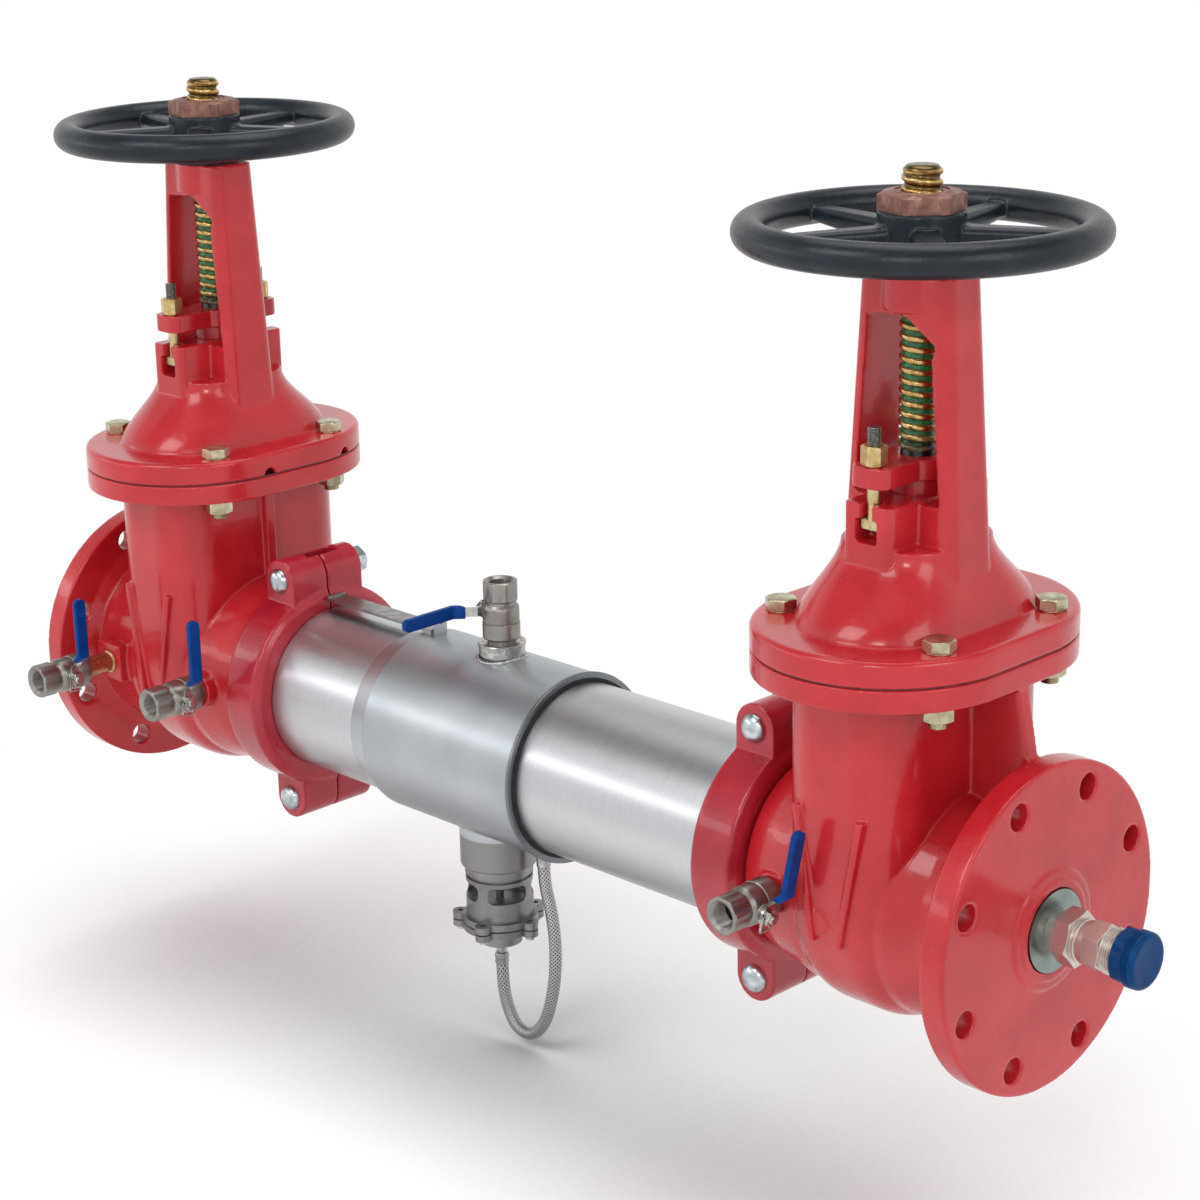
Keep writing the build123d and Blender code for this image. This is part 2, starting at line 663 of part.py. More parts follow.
def relief_body():
    top = collar_low_z
    inner = cage_r - cage_wall
    neck = collar_r - 7 - fit_gap
    low = cage_low_z - relief_flange_thickness
    form = relief_ring(low, cage_low_z, low - 1)
    form += rod_z(cage_low_z, cage_top_z, cage_r) + rod_z(cage_top_z - 1, top - 1, cage_r - 2.5)
    form += rod_z(top - cage_ring, top, cage_r + 0.5)
    form += rod_z(top - 1, relief_seat_z + 8, neck)
    form -= rod_z(low - 1, relief_guide_z, inner)
    form -= rod_z(relief_guide_z + 4, relief_seat_z, inner)
    form -= rod_z(relief_seat_z - 1, relief_seat_z + 9, relief_disc_r - 5)
    form += block(-16, 16, -2.5, 2.5, relief_seat_z + 2, relief_seat_z + 8)
    form += rod_z(relief_seat_z + 2, relief_seat_z + 8, 8)
    form -= rod_z(cage_low_z, relief_seat_z + 12, 4 + running_fit)
    mid = (window_low + window_high) / 2
    opening = Rot(0, 90, 0) * extrude(RectangleRounded(window_high - window_low, cage_window_width, 6), 60)
    for k in range(cage_windows):
        form -= Rot(0, 0, 360 / cage_windows * k + cage_turn) * Pos(10, 0, mid) * opening
    return form


def relief_cover():
    top = cage_low_z - relief_flange_thickness - diaphragm_thickness
    form = relief_ring(cover_low_z, top, cover_low_z - 1) + rod_z(relief_hub_low_z, cover_low_z + 1, relief_hub_r)
    form -= rod_z(relief_plate_z - relief_travel - 1.5, top + 1, diaphragm_plate_r + 1.5)
    return form - rod_z(relief_hub_low_z - 1, cover_low_z, 3)


def relief_diaphragm():
    top = cage_low_z - relief_flange_thickness
    low = top - diaphragm_thickness
    form = relief_ring(low, top, low - 1)
    return form - rod_z(low - 1, top + 1, diaphragm_plate_r + fit_gap)


def relief_screws():
    for x, y in relief_lugs():
        shank = rod_z(cover_low_z - 1, cage_low_z - 3, relief_screw_r, x, y)
        yield shank + rod_z(cover_low_z - 4, cover_low_z, 4.2, x, y)


def relief_stem():
    low = relief_plate_z
    form = rod_z(low, relief_seat_z + 14, 4)
    form += rod_z(relief_seat_z - fit_gap - 6, relief_seat_z - fit_gap, relief_disc_r)
    return form + rod_z(low, low + 5, diaphragm_plate_r)


def relief_spring():
    low = relief_plate_z + 5 + fit_gap
    return Pos(0, 0, low) * coil(12, 1.6, relief_guide_z - fit_gap - low, 3)


# Test cocks: local +Z is the way out, local +X the lever spindle, local +Y the closed lever
def cock_body(male):
    form = hex_z(cock_hex, 0, 14) + rod_z(14, 42, cock_body_r) + rod_z(44, cock_length - 1, cock_body_r)
    form += rod_z(13, cock_length, cock_body_r - 1.5)
    form += Pos(0, 0, cock_ball_z) * rod_x(0, lever_x - fit_gap, 7)
    if male:
        form += rod_z(-cock_thread, 1, cock_thread_r)
    form -= rod_z(-cock_thread - 1, cock_length + 5, cock_bore_r)
    if not male:
        form -= rod_z(-1, cock_thread + fit_gap, cock_thread_r + fit_gap)
    form -= Pos(0, 0, cock_ball_z) * Sphere(cock_ball_r + fit_gap)
    form -= rod_z(cock_length - 14, cock_length + 1, cock_thread_r)
    return form - Pos(0, 0, cock_ball_z) * rod_x(0, lever_x + 5, 4 + running_fit)


def lever_strip(start, end, margin, width):
    """Joggled flat strip, or with a margin the sleeve round it."""
    x0, x1 = lever_x - margin, lever_x + lever_joggle - margin
    wide = lever_thickness + 2 * margin
    shift = wide * math.tan(math.radians(22.5))
    y1 = lever_bend_y + margin * math.tan(math.radians(22.5))
    y2 = y1 + lever_joggle
    outline = Polyline((x0, start), (x0, y1), (x1, y2), (x1, end), (x1 + wide, end), (x1 + wide, y2 - shift),
                       (x0 + wide, y1 - shift), (x0 + wide, start), close=True)
    return Pos(0, 0, cock_ball_z) * extrude(make_face(outline), width / 2, both=True)


def lever():
    form = lever_strip(-9, lever_length, 0, lever_width)
    form += Pos(0, 0, cock_ball_z) * rod_x(lever_x, lever_x + lever_thickness, 9)
    form += Pos(0, 0, cock_ball_z) * rod_x(8, lever_x + lever_thickness + 8, 4)
    nut = extrude(RegularPolygon(6.5, 6, major_radius=False), 6)
    form += Pos(lever_x + lever_thickness, 0, cock_ball_z) * Rot(0, 90, 0) * nut
    ball = Pos(0, 0, cock_ball_z) * Sphere(cock_ball_r)
    return form + (ball - rod_y(-20, 20, cock_bore_r - 1, 0, cock_ball_z))


def grip():
    sleeve = lever_strip(-20, lever_length + grip_wall, grip_wall, grip_width)
    sleeve &= block(0, 80, grip_start, 200, -50, 90)
    tip = sleeve.edges().filter_by(Axis.X).group_by(Axis.Y)[-1]
    sleeve = fillet(tip, grip_width / 2 - 0.5)
    return sleeve - lever_strip(-9, lever_length, 0, lever_width)


# Outlet fitting
def hex_x(flats, x0, x1, turn=0.0):
    six = extrude(RegularPolygon(flats / 2, 6, major_radius=False), x1 - x0)
    return Pos(x0, 0, 0) * Rot(0, 90, 0) * Rot(0, 0, turn) * six


def plug_disc():
    disc = rod_x(plug_x - flange_thickness - 6, plug_x, plug_disc_r)
    return disc - rod_x(plug_x - 40, plug_x + 5, nipple_r - 4)


def hex_bushing():
    core_r = first_hex_flats / 2 - 3
    form = rod_x(plug_x - 14, plug_x + 1, nipple_r - 4 - fit_gap) + rod_x(plug_x, plug_x + 37, core_r)
    rounding = turned([(plug_x + 9, 0), (plug_x + 9, core_r + 1), (plug_x + 12, core_r + 6),
                       (plug_x + 22, core_r + 6), (plug_x + 26, core_r + 2), (plug_x + 26, 0)])
    form += hex_x(first_hex_flats, plug_x + 9, plug_x + 26, 12) & rounding
    return form - rod_x(plug_x - 20, plug_x + 40, 13)


def reducing_nipple():
    x = plug_x + 37
    head = hex_x(second_hex_flats, x, x + 17, 25) & rod_x(x, x + 17, second_hex_flats / 2 * 1.1)
    form = rod_x(x - 12, x + 1, 13 - fit_gap) + head + rod_x(x + 17, x + 40, nipple_r)
    return form - rod_x(x - 15, x + 45, 9)


def test_cap():
    x = plug_x + 66
    form = hex_x(2 * cap_r - 6, x, x + 12, 8) & rod_x(x, x + 12, cap_r)
    form += rod_x(x + 12, x + 24, cap_r)
    return form - rod_x(x - 1, x + 18, nipple_r + fit_gap)


# Sensing hose: chosen points from the relief cover down, round and up to the housing
hose_points = [(552, 0, -228), (552, 0, -260), (557, 1, -286), (569, 2, -306), (590, 3, -308),
               (606, 5, -291), (616, 6, -264), (622, 7, -231), (623, 7, -196), (618, 7, -163),
               (608, 8, -137), (608, 8, -112)]


def sensing_hose():
    radii = []
    p = [Vector(*q) for q in hose_points]
    for a, b, c in zip(p, p[1:], p[2:]):
        half_turn = math.radians((b - a).get_angle(c - b)) / 2
        radii.append(0.45 * min((b - a).length, (c - b).length) / math.tan(half_turn))
    print("hose radii", [round(r, 1) for r in radii])
    path = FilletPolyline(*hose_points, radius=radii)
    tube = sweep(Plane(origin=path @ 0, z_dir=path % 0) * Circle(hose_r), path=path)
    share = tube.volume / (math.pi * hose_r ** 2 * path.length)
    print("hose length", round(path.length, 1), "volume share", round(share, 4))
    return tube


def hose_fittings():
    x, y, z = hose_points[0]
    low = rod_z(z, z + 8, hose_r + 0.8, x, y) + hex_z(13, z + 7, relief_hub_low_z, x, y)
    x, y, z = hose_points[-1]
    top = rod_z(z, z + 10, hose_r + 0.8, x, y) + rod_z(z + 9, -middle_r + 2, 5.5, x, y)
    return [low, top - rod_x(x - 30, x + 30, middle_r + fit_gap / 6)]


# Assembly
inlet_cocks = [(-cock_offsets[0], -cock_reaches[0]), (cock_offsets[1], -cock_reaches[1])]
outlet_cocks = [(cock_offsets[1], cock_reaches[2])]
nodes["inlet_valve_body"] = at_valve(valve_body(inlet_cocks, False), 0, True)
nodes["outlet_valve_body"] = at_valve(valve_body(outlet_cocks, True), 1, True)
for valve, valve_name in enumerate(valve_names):
    nodes[f"{valve_name}_bonnet"] = at_valve(bonnet(valve == 0), valve, False)
for name, form in (("stem", stem()), ("wedge", wedge()), ("yoke_nut", yoke_nut()),
                   ("handwheel", handwheel()), ("wheel_nut", wheel_nut())):
    for valve, valve_name in enumerate(valve_names):
        nodes[f"{valve_name}_{name}"] = at_valve(form, valve, False)
both = (0, 1)
nodes["bonnet_gaskets"] = group(at_valve(bonnet_gasket_ring(), v, False) for v in both)
nodes["bonnet_bolts"] = group(at_valve(b, v, False) for v in both for b in bonnet_bolts())
nodes["bonnet_nuts"] = group(at_valve(b, v, False) for v in both for b in bonnet_nuts())
nodes["gland_followers"] = group(at_valve(gland_follower(), v, False) for v in both)
nodes["gland_bolts"] = group(at_valve(b, v, False) for v in both for b in gland_bolts())
nodes["gland_nuts"] = group(at_valve(b, v, False) for v in both for b in gland_nuts())
packing = ring_z(packing_low_z, packing_high_z, packing_r, stem_plain_r + fit_gap)
nodes["stem_packings"] = group(at_valve(packing, v, False) for v in both)
nodes["yoke_caps"] = group(at_valve(yoke_cap(), v, False) for v in both)
nodes["coupling_front_halves"] = group(Pos(x, 0, 0) * coupling_half(-1) for x in coupling_x)
nodes["coupling_back_halves"] = group(Pos(x, 0, 0) * coupling_half(1) for x in coupling_x)
nodes["coupling_gaskets"] = group(Pos(x, 0, 0) * coupling_gasket() for x in coupling_x)
nodes["coupling_bolts"] = group(Pos(x, 0, 0) * b for x in coupling_x for b in coupling_bolts())
nodes["coupling_nuts"] = group(Pos(x, 0, 0) * b for x in coupling_x for b in coupling_nuts())
nodes["check_housing"] = check_housing()
nodes["outlet_tube"] = outlet_tube()
nodes["housing_seal"] = housing_seal()
nodes["retainer_strap"] = retainer_strap()
for k, x0 in enumerate(check_x):
    nodes[f"check_{k + 1}_cage"] = check_cage(x0)
    nodes[f"check_{k + 1}_disc"] = check_disc(x0)
    nodes[f"check_{k + 1}_spring"] = check_spring(x0)
for name, form in (("relief_body", relief_body()), ("relief_cover", relief_cover()),
                   ("relief_stem", relief_stem()), ("relief_diaphragm", relief_diaphragm()),
                   ("relief_spring", relief_spring())):
    nodes[name] = Pos(relief_x, 0, 0) * form
nodes["relief_screws"] = group(Pos(relief_x, 0, 0) * s for s in relief_screws())
nodes["sensing_hose"] = sensing_hose()
nodes["hose_fittings"] = group(hose_fittings())
lean = math.radians(cock_lean)
cock_planes = (Plane(origin=(stem_x[0] - cock_offsets[0], -cock_reaches[0] - cock_nipple, 0),
                     x_dir=(1, 0, 0), z_dir=(0, -1, 0)),
               Plane(origin=(stem_x[0] + cock_offsets[1], -cock_reaches[1], 0),
                     x_dir=(1, 0, 0), z_dir=(0, -1, 0)),
               Plane(origin=(top_cock_x, 0, middle_r + 13), x_dir=(-1, 0, 0), z_dir=(0, 0, 1)),
               Plane(origin=(stem_x[1] - cock_offsets[1], -cock_reaches[2], 0),
                     x_dir=(math.cos(lean), 0, -math.sin(lean)), z_dir=(0, -1, 0)))
bodies = []
for k, plane in enumerate(cock_planes):
    bodies.append(plane.location * cock_body(k > 0))
    nodes[f"test_cock_{k + 1}_lever"] = plane.location * lever()
    nodes[f"test_cock_{k + 1}_grip"] = plane.location * grip()
nodes["test_cock_bodies"] = group(bodies)
nipple = ring_z(-cock_nipple - cock_thread, cock_thread, cock_thread_r, cock_bore_r)
nodes["test_cock_nipple"] = cock_planes[0].location * nipple
nodes["plug_disc"] = plug_disc()
nodes["hex_bushing"] = hex_bushing()
nodes["reducing_nipple"] = reducing_nipple()
nodes["test_cap"] = test_cap()

for name, form in nodes.items():
    export_step(form, f"parts/{name}.step")
print(len(nodes), "nodes")
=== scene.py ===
import math
import bmesh
import bpy
from mathutils import Matrix, Vector


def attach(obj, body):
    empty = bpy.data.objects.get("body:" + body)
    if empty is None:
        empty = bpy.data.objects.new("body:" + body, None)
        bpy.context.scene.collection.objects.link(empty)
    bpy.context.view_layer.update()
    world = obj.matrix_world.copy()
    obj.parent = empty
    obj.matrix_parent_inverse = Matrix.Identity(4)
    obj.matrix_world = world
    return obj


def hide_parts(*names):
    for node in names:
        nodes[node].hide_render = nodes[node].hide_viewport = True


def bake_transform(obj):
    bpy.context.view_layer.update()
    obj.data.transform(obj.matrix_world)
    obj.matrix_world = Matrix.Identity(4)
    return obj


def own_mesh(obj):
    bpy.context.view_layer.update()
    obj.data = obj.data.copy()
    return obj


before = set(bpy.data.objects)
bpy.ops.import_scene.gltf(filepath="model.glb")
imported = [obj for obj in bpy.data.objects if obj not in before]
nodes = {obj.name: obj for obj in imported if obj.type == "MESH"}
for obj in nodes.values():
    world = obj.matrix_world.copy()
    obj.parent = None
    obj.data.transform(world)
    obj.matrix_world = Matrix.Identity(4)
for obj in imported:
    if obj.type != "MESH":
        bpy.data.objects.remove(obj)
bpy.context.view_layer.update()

scene = bpy.context.scene

# Gate valve bodies and bonnets: sand-cast ductile iron, fettled and fusion-coated inside and out with red epoxy.
# The mould gives every corner a fillet of a few millimetres, and the coating flows to a gloss with a faint
# orange peel; its tone drifts in soft clouds with a few darker pits.


def linear(hex_text):
    """An sRGB hex colour as linear RGBA."""
    parts = [int(hex_text[k:k + 2], 16) / 255 for k in (0, 2, 4)]
    return [c / 12.92 if c <= 0.04045 else ((c + 0.055) / 1.055) ** 2.4 for c in parts] + [1.0]


def connect(node, links):
    """Gives inputs, by name or number, a value, a socket, or a node for its first output."""
    for key, value in links.items():
        if isinstance(value, bpy.types.Node):
            value = value.outputs[0]
        if isinstance(value, bpy.types.NodeSocket):
            node.id_data.links.new(value, node.inputs[key])
        else:
            node.inputs[key].default_value = value
    return node


def add(tree, kind, links=(), stops=(), **settings):
    """Adds a node with its settings and links; on a colour ramp, stops lists (place, hex colour)."""
    made = tree.nodes.new(kind)
    for key, value in settings.items():
        setattr(made, key, value)
    if stops:
        while len(made.color_ramp.elements) < len(stops):
            made.color_ramp.elements.new(0.5)
        for element, (place, color) in zip(made.color_ramp.elements, stops):
            element.position = place
            element.color = linear(color)
    return connect(made, dict(links))


def finish_named(name, color, **shader):
    """A new material with its Principled shader and the piece's own coordinates."""
    material = bpy.data.materials.new(name)
    material.use_nodes = True
    tree = material.node_tree
    principled = tree.nodes["Principled BSDF"]
    principled.inputs["Base Color"].default_value = linear(color)
    for key, value in shader.items():
        principled.inputs[key.replace("_", " ").title().replace("Ior", "IOR")].default_value = value
    return material, tree, principled, add(tree, "ShaderNodeTexCoord").outputs["Object"]


def mottle(tree, coords, size_mm, detail=3.0, rough=0.55, stretch=(1, 1, 1)):
    """Noise whose blotches are about size_mm across, drawn out along the axes with a small stretch number."""
    scaled = add(tree, "ShaderNodeMapping", {"Vector": coords, "Scale": stretch}).outputs[0]
    return add(tree, "ShaderNodeTexNoise",
               {"Vector": scaled, "Scale": 1000.0 / size_mm, "Detail": detail, "Roughness": rough}).outputs["Fac"]


def clouds(tree, coords, size_mm, stops, detail=3.0, rough=0.55):
    """Soft clouds of colour about size_mm across."""
    return add(tree, "ShaderNodeValToRGB", {"Fac": mottle(tree, coords, size_mm, detail, rough)},
               stops).outputs[0]


def relief(tree, height, depth_mm, onto=None, edge_mm=0.0):
    """Bump of a height pattern, over a worn edge radius where one is given."""
    links = {"Height": height, "Strength": 1.0, "Distance": depth_mm / 1000}
    if edge_mm:
        links["Normal"] = add(tree, "ShaderNodeBevel", {"Radius": edge_mm / 1000}, samples=4).outputs[0]
    elif onto is not None:
        links["Normal"] = onto
    return add(tree, "ShaderNodeBump", links).outputs[0]


def red_paint(name, deep, mid, pale):
    """Fusion-bonded epoxy: saturated gloss red over a faint orange peel and the waviness of the sand mould."""
    material, tree, principled, at = finish_named(name, mid, Roughness=0.25, Coat_Weight=0.3,
                                                  Coat_Roughness=0.05, Specular_IOR_Level=0.4)
    color = clouds(tree, at, 50, ((0.34, deep), (0.5, mid), (0.66, pale)))
    pits = add(tree, "ShaderNodeMapRange",
               {"Value": mottle(tree, at, 8, 2.0), "From Min": 0.70, "From Max": 0.80})
    faint = add(tree, "ShaderNodeMath", {0: pits, 1: 0.15}, operation="MULTIPLY")
    pitted = add(tree, "ShaderNodeMix", {0: faint, 6: color, 7: linear(deep)}, data_type="RGBA")
    grain = mottle(tree, at, 2.6, 4.0, 0.6)
    gloss = add(tree, "ShaderNodeMapRange",
                {"Value": grain, "From Min": 0.3, "From Max": 0.75, "To Min": 0.2, "To Max": 0.3})
    peel = relief(tree, grain, 0.05)
    connect(principled, {"Base Color": pitted.outputs[2], "Roughness": gloss,
                         "Normal": relief(tree, mottle(tree, at, 18, 2.0), 0.4, onto=peel)})
    return material


cast_red = red_paint("fusion_bonded_red_epoxy", "AE1A22", "B61E27", "BC252D")


def node_mesh(node):
    """A merged copy of a CAD node's triangles."""
    form = bmesh.new()
    form.from_mesh(nodes[node].data)
    bmesh.ops.remove_doubles(form, verts=form.verts, dist=1e-6)
    return form


def placed(name, data):
    """A new object in the scene."""
    made = bpy.data.objects.new(name, data)
    scene.collection.objects.link(made)
    return made


def as_built(made):
    """A mesh of an object with its modifiers applied."""
    bpy.context.view_layer.update()
    return bpy.data.meshes.new_from_object(made.evaluated_get(bpy.context.evaluated_depsgraph_get()))


def piece(name, form, material, body, stands_for=(), sharp=35.0):
    """Makes a bmesh an object with one material, riding on a body unless it is to bend between two."""
    mesh = bpy.data.meshes.new(name)
    form.to_mesh(mesh)
    form.free()
    mesh.materials.append(material)
    mesh.polygons.foreach_set("use_smooth", [True] * len(mesh.polygons))
    if sharp:
        mesh.set_sharp_from_angle(angle=math.radians(sharp))
    made = placed(name, mesh)
    if body:
        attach(made, body)
    if stands_for:
        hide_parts(*stands_for)
    return made


def joined(*forms):
    """One bmesh from several, with the others freed."""
    whole = bmesh.new()
    for form in forms:
        part = bpy.data.meshes.new("part")
        form.to_mesh(part)
        form.free()
        whole.from_mesh(part)
        bpy.data.meshes.remove(part)
    return whole


def moulded(node, grain_mm, rounds, limit=150000, cast_on=()):
    """A CAD node's form as it leaves the mould: remeshed, with its corners relaxed to small fillets."""
    mesh = bpy.data.meshes.new("mould")
    form = joined(node_mesh(node), *cast_on)
    form.to_mesh(mesh)
    form.free()
    made = placed("mould", mesh)
    remesh = made.modifiers.new("grain", "REMESH")
    remesh.mode = "VOXEL"
    remesh.voxel_size = grain_mm / 1000 * 1.0
    relax = made.modifiers.new("relax", "SMOOTH")
    relax.factor = 0.5
    relax.iterations = rounds
    ready = as_built(made)
    made.modifiers.clear()
    made.data = ready
    ready.calc_loop_triangles()
    count = len(ready.loop_triangles)
    if count > limit:
        thin = made.modifiers.new("thin", "DECIMATE")
        thin.ratio = limit / count
        ready = as_built(made)
    result = bmesh.new()
    result.from_mesh(ready)
    bpy.data.objects.remove(made)
    return result


def block(x, y, z, size_x, size_y, size_z):
    """A plain block about its middle."""
    form = bmesh.new()
    bmesh.ops.create_cube(form, size=1.0, matrix=Matrix.Translation((x, y, z)) @ Matrix.Diagonal(
        (size_x, size_y, size_z, 1)))
    return form


lie_y = Matrix.Rotation(math.radians(90), 4, "X")


def cast_disc(x, y, z, radius, height):
    """A round pad facing the front."""
    form = bmesh.new()
    bmesh.ops.create_cone(form, cap_ends=True, segments=48, radius1=radius, radius2=radius - 0.001, depth=height,
                          matrix=Matrix.Translation((x, y, z)) @ lie_y)
    return form


first_cock_x = 0.0675
square_boss = block(first_cock_x, -0.1065, 0.0, 0.040, 0.0106, 0.040)
round_pad = cast_disc(1.062, -0.109, -0.004, 0.011, 0.006)
for valve, cast_on in (("inlet", [square_boss]), ("outlet", [round_pad])):
    piece(f"{valve}_body_casting", moulded(f"{valve}_valve_body", 1.3, 9, 195000, cast_on), cast_red, "pipeline",
          [f"{valve}_valve_body"], sharp=0)
    piece(f"{valve}_bonnet_casting", moulded(f"{valve}_bonnet", 1.2, 7, 180000), cast_red, "pipeline",
          [f"{valve}_bonnet"], sharp=0)

# Bonnet gaskets: sheet rubber between the two flanges; the epoxy bridges its edge, so the joint is a thin dark
# red line. The other gaskets and seals are bare black rubber, dull and slightly swollen.


def polymer(name, color, cloud_mm, stops, grain_mm, depth_mm, edge_mm=0.0, **shader):
    """Rubber or plastic: soft clouds of colour over one fine grain."""
    material, tree, principled, at = finish_named(name, color, **shader)
    connect(principled, {"Base Color": clouds(tree, at, cloud_mm, stops),
                         "Normal": relief(tree, mottle(tree, at, grain_mm), depth_mm, edge_mm=edge_mm)})
    return material


def dress(node, material):
    """Gives a CAD node that keeps its own shape its finish."""
    mesh = nodes[node].data
    mesh.materials.clear()
    mesh.materials.append(material)


rubber = polymer("black_sheet_rubber", "1B1B1C", 6, ((0.35, "141415"), (0.7, "262627")), 1.2, 0.05, Roughness=0.75)
for node in ("coupling_gaskets", "housing_seal", "stem_packings", "relief_diaphragm"):
    dress(node, rubber)
painted_rubber = polymer("epoxy_over_gasket_edge", "5E0F18", 9, ((0.35, "3E0A10"), (0.65, "74131D")), 1.5, 0.1,
                         Roughness=0.45)
dress("bonnet_gaskets", painted_rubber)

# Bonnet bolts: M16 hex-head bolts, four to a valve, rolled thread, nut below the flange.
# Zinc-plated with a yellow chromate, so the flats are pale straw with darker, greyer patches where tools held them.


def plated(name, deep, mid, pale, rough=0.34, size=9.0, edge_mm=0.5, grain_mm=0.03):
    """Electroplated or cast metal: softly clouded, brighter and smoother where it is rubbed."""
    material, tree, principled, at = finish_named(name, mid, Metallic=1.0, Roughness=rough)
    cloud = mottle(tree, at, size, 3.0, 0.5)
    color = add(tree, "ShaderNodeValToRGB", {"Fac": cloud}, ((0.3, deep), (0.5, mid), (0.7, pale)))
    rubbed = add(tree, "ShaderNodeMapRange", {"Value": cloud, "From Min": 0.3, "From Max": 0.7,
                                              "To Min": rough + 0.06, "To Max": rough - 0.05})
    connect(principled, {"Base Color": color, "Roughness": rubbed,
                         "Normal": relief(tree, mottle(tree, at, 1.1, 3.0), grain_mm, edge_mm=edge_mm)})
    return material


yellow_zinc = plated("yellow_passivated_zinc", "A39A7C", "BFB698", "D6CFB6", 0.3)


def lathed(profile, flats=0.0, sides=72, turn=0.0, corners=6):
    """A turned form about Z from a closed outline of (z, radius); flats, if given, cuts it to a polygon."""
    form = bmesh.new()
    step = 2 * math.pi / corners
    rings = []
    for k in range(sides):
        a = 2 * math.pi * k / sides
        reach = flats / 2 / math.cos((a + step / 2) % step - step / 2) if flats else 1e9
        x, y = math.cos(a + math.radians(turn)), math.sin(a + math.radians(turn))
        rings.append([form.verts.new((min(r, reach) * x, min(r, reach) * y, z)) for z, r in profile])
    for k in range(sides):
        near, far = rings[k], rings[(k + 1) % sides]
        for j in range(len(profile)):
            i = (j + 1) % len(profile)
            form.faces.new((near[j], far[j], far[i], near[i]))
    bmesh.ops.remove_doubles(form, verts=form.verts, dist=1e-6)
    bmesh.ops.dissolve_degenerate(form, edges=form.edges, dist=1e-6)
    bmesh.ops.recalc_face_normals(form, faces=form.faces)
    return form


def hexagon(flats, z0, z1, hole=0.0, crown=0.0, turn=0.0, sides=72):
    """A chamfered hexagon: the 30 degree chamfer is a cone that the flats cut to arcs."""
    flat_r, corner = flats / 2, flats / 2 / math.cos(math.pi / 6)
    fall = (corner - flat_r) * 0.42 + 0.0003
    steps = [(k / 6, flat_r * 0.96 + (corner - flat_r * 0.96) * k / 6) for k in range(7)]
    upper = [(z1 - fall * s, r) for s, r in steps]
    lower = [(z0 + fall * s, r) for s, r in reversed(steps)]
    return lathed([(z1 + crown, hole)] + upper + lower + [(z0, hole)], flats, sides, turn)


def moved(form, matrix):
    bmesh.ops.transform(form, matrix=matrix, verts=form.verts)
    return form


def begun_group(name, **asked):
    """A geometry nodes group that asks for the named values, and the sockets that bring them."""
    tree = bpy.data.node_groups.new(name, "GeometryNodeTree")
    for label, kind in asked.items():
        tree.interface.new_socket(name=label, in_out="INPUT", socket_type="NodeSocket" + kind)
    tree.interface.new_socket(name="Geometry", in_out="OUTPUT", socket_type="NodeSocketGeometry")
    return tree, add(tree, "NodeGroupInput").outputs


def ended_group(tree, result, material):
    """Realizes what a group has made, gives it its material and hands it out."""
    real = add(tree, "GeometryNodeRealizeInstances", {0: result})
    dressed = add(tree, "GeometryNodeSetMaterial", {"Geometry": real, "Material": material})
    add(tree, "NodeGroupOutput", {0: dressed})
    return tree


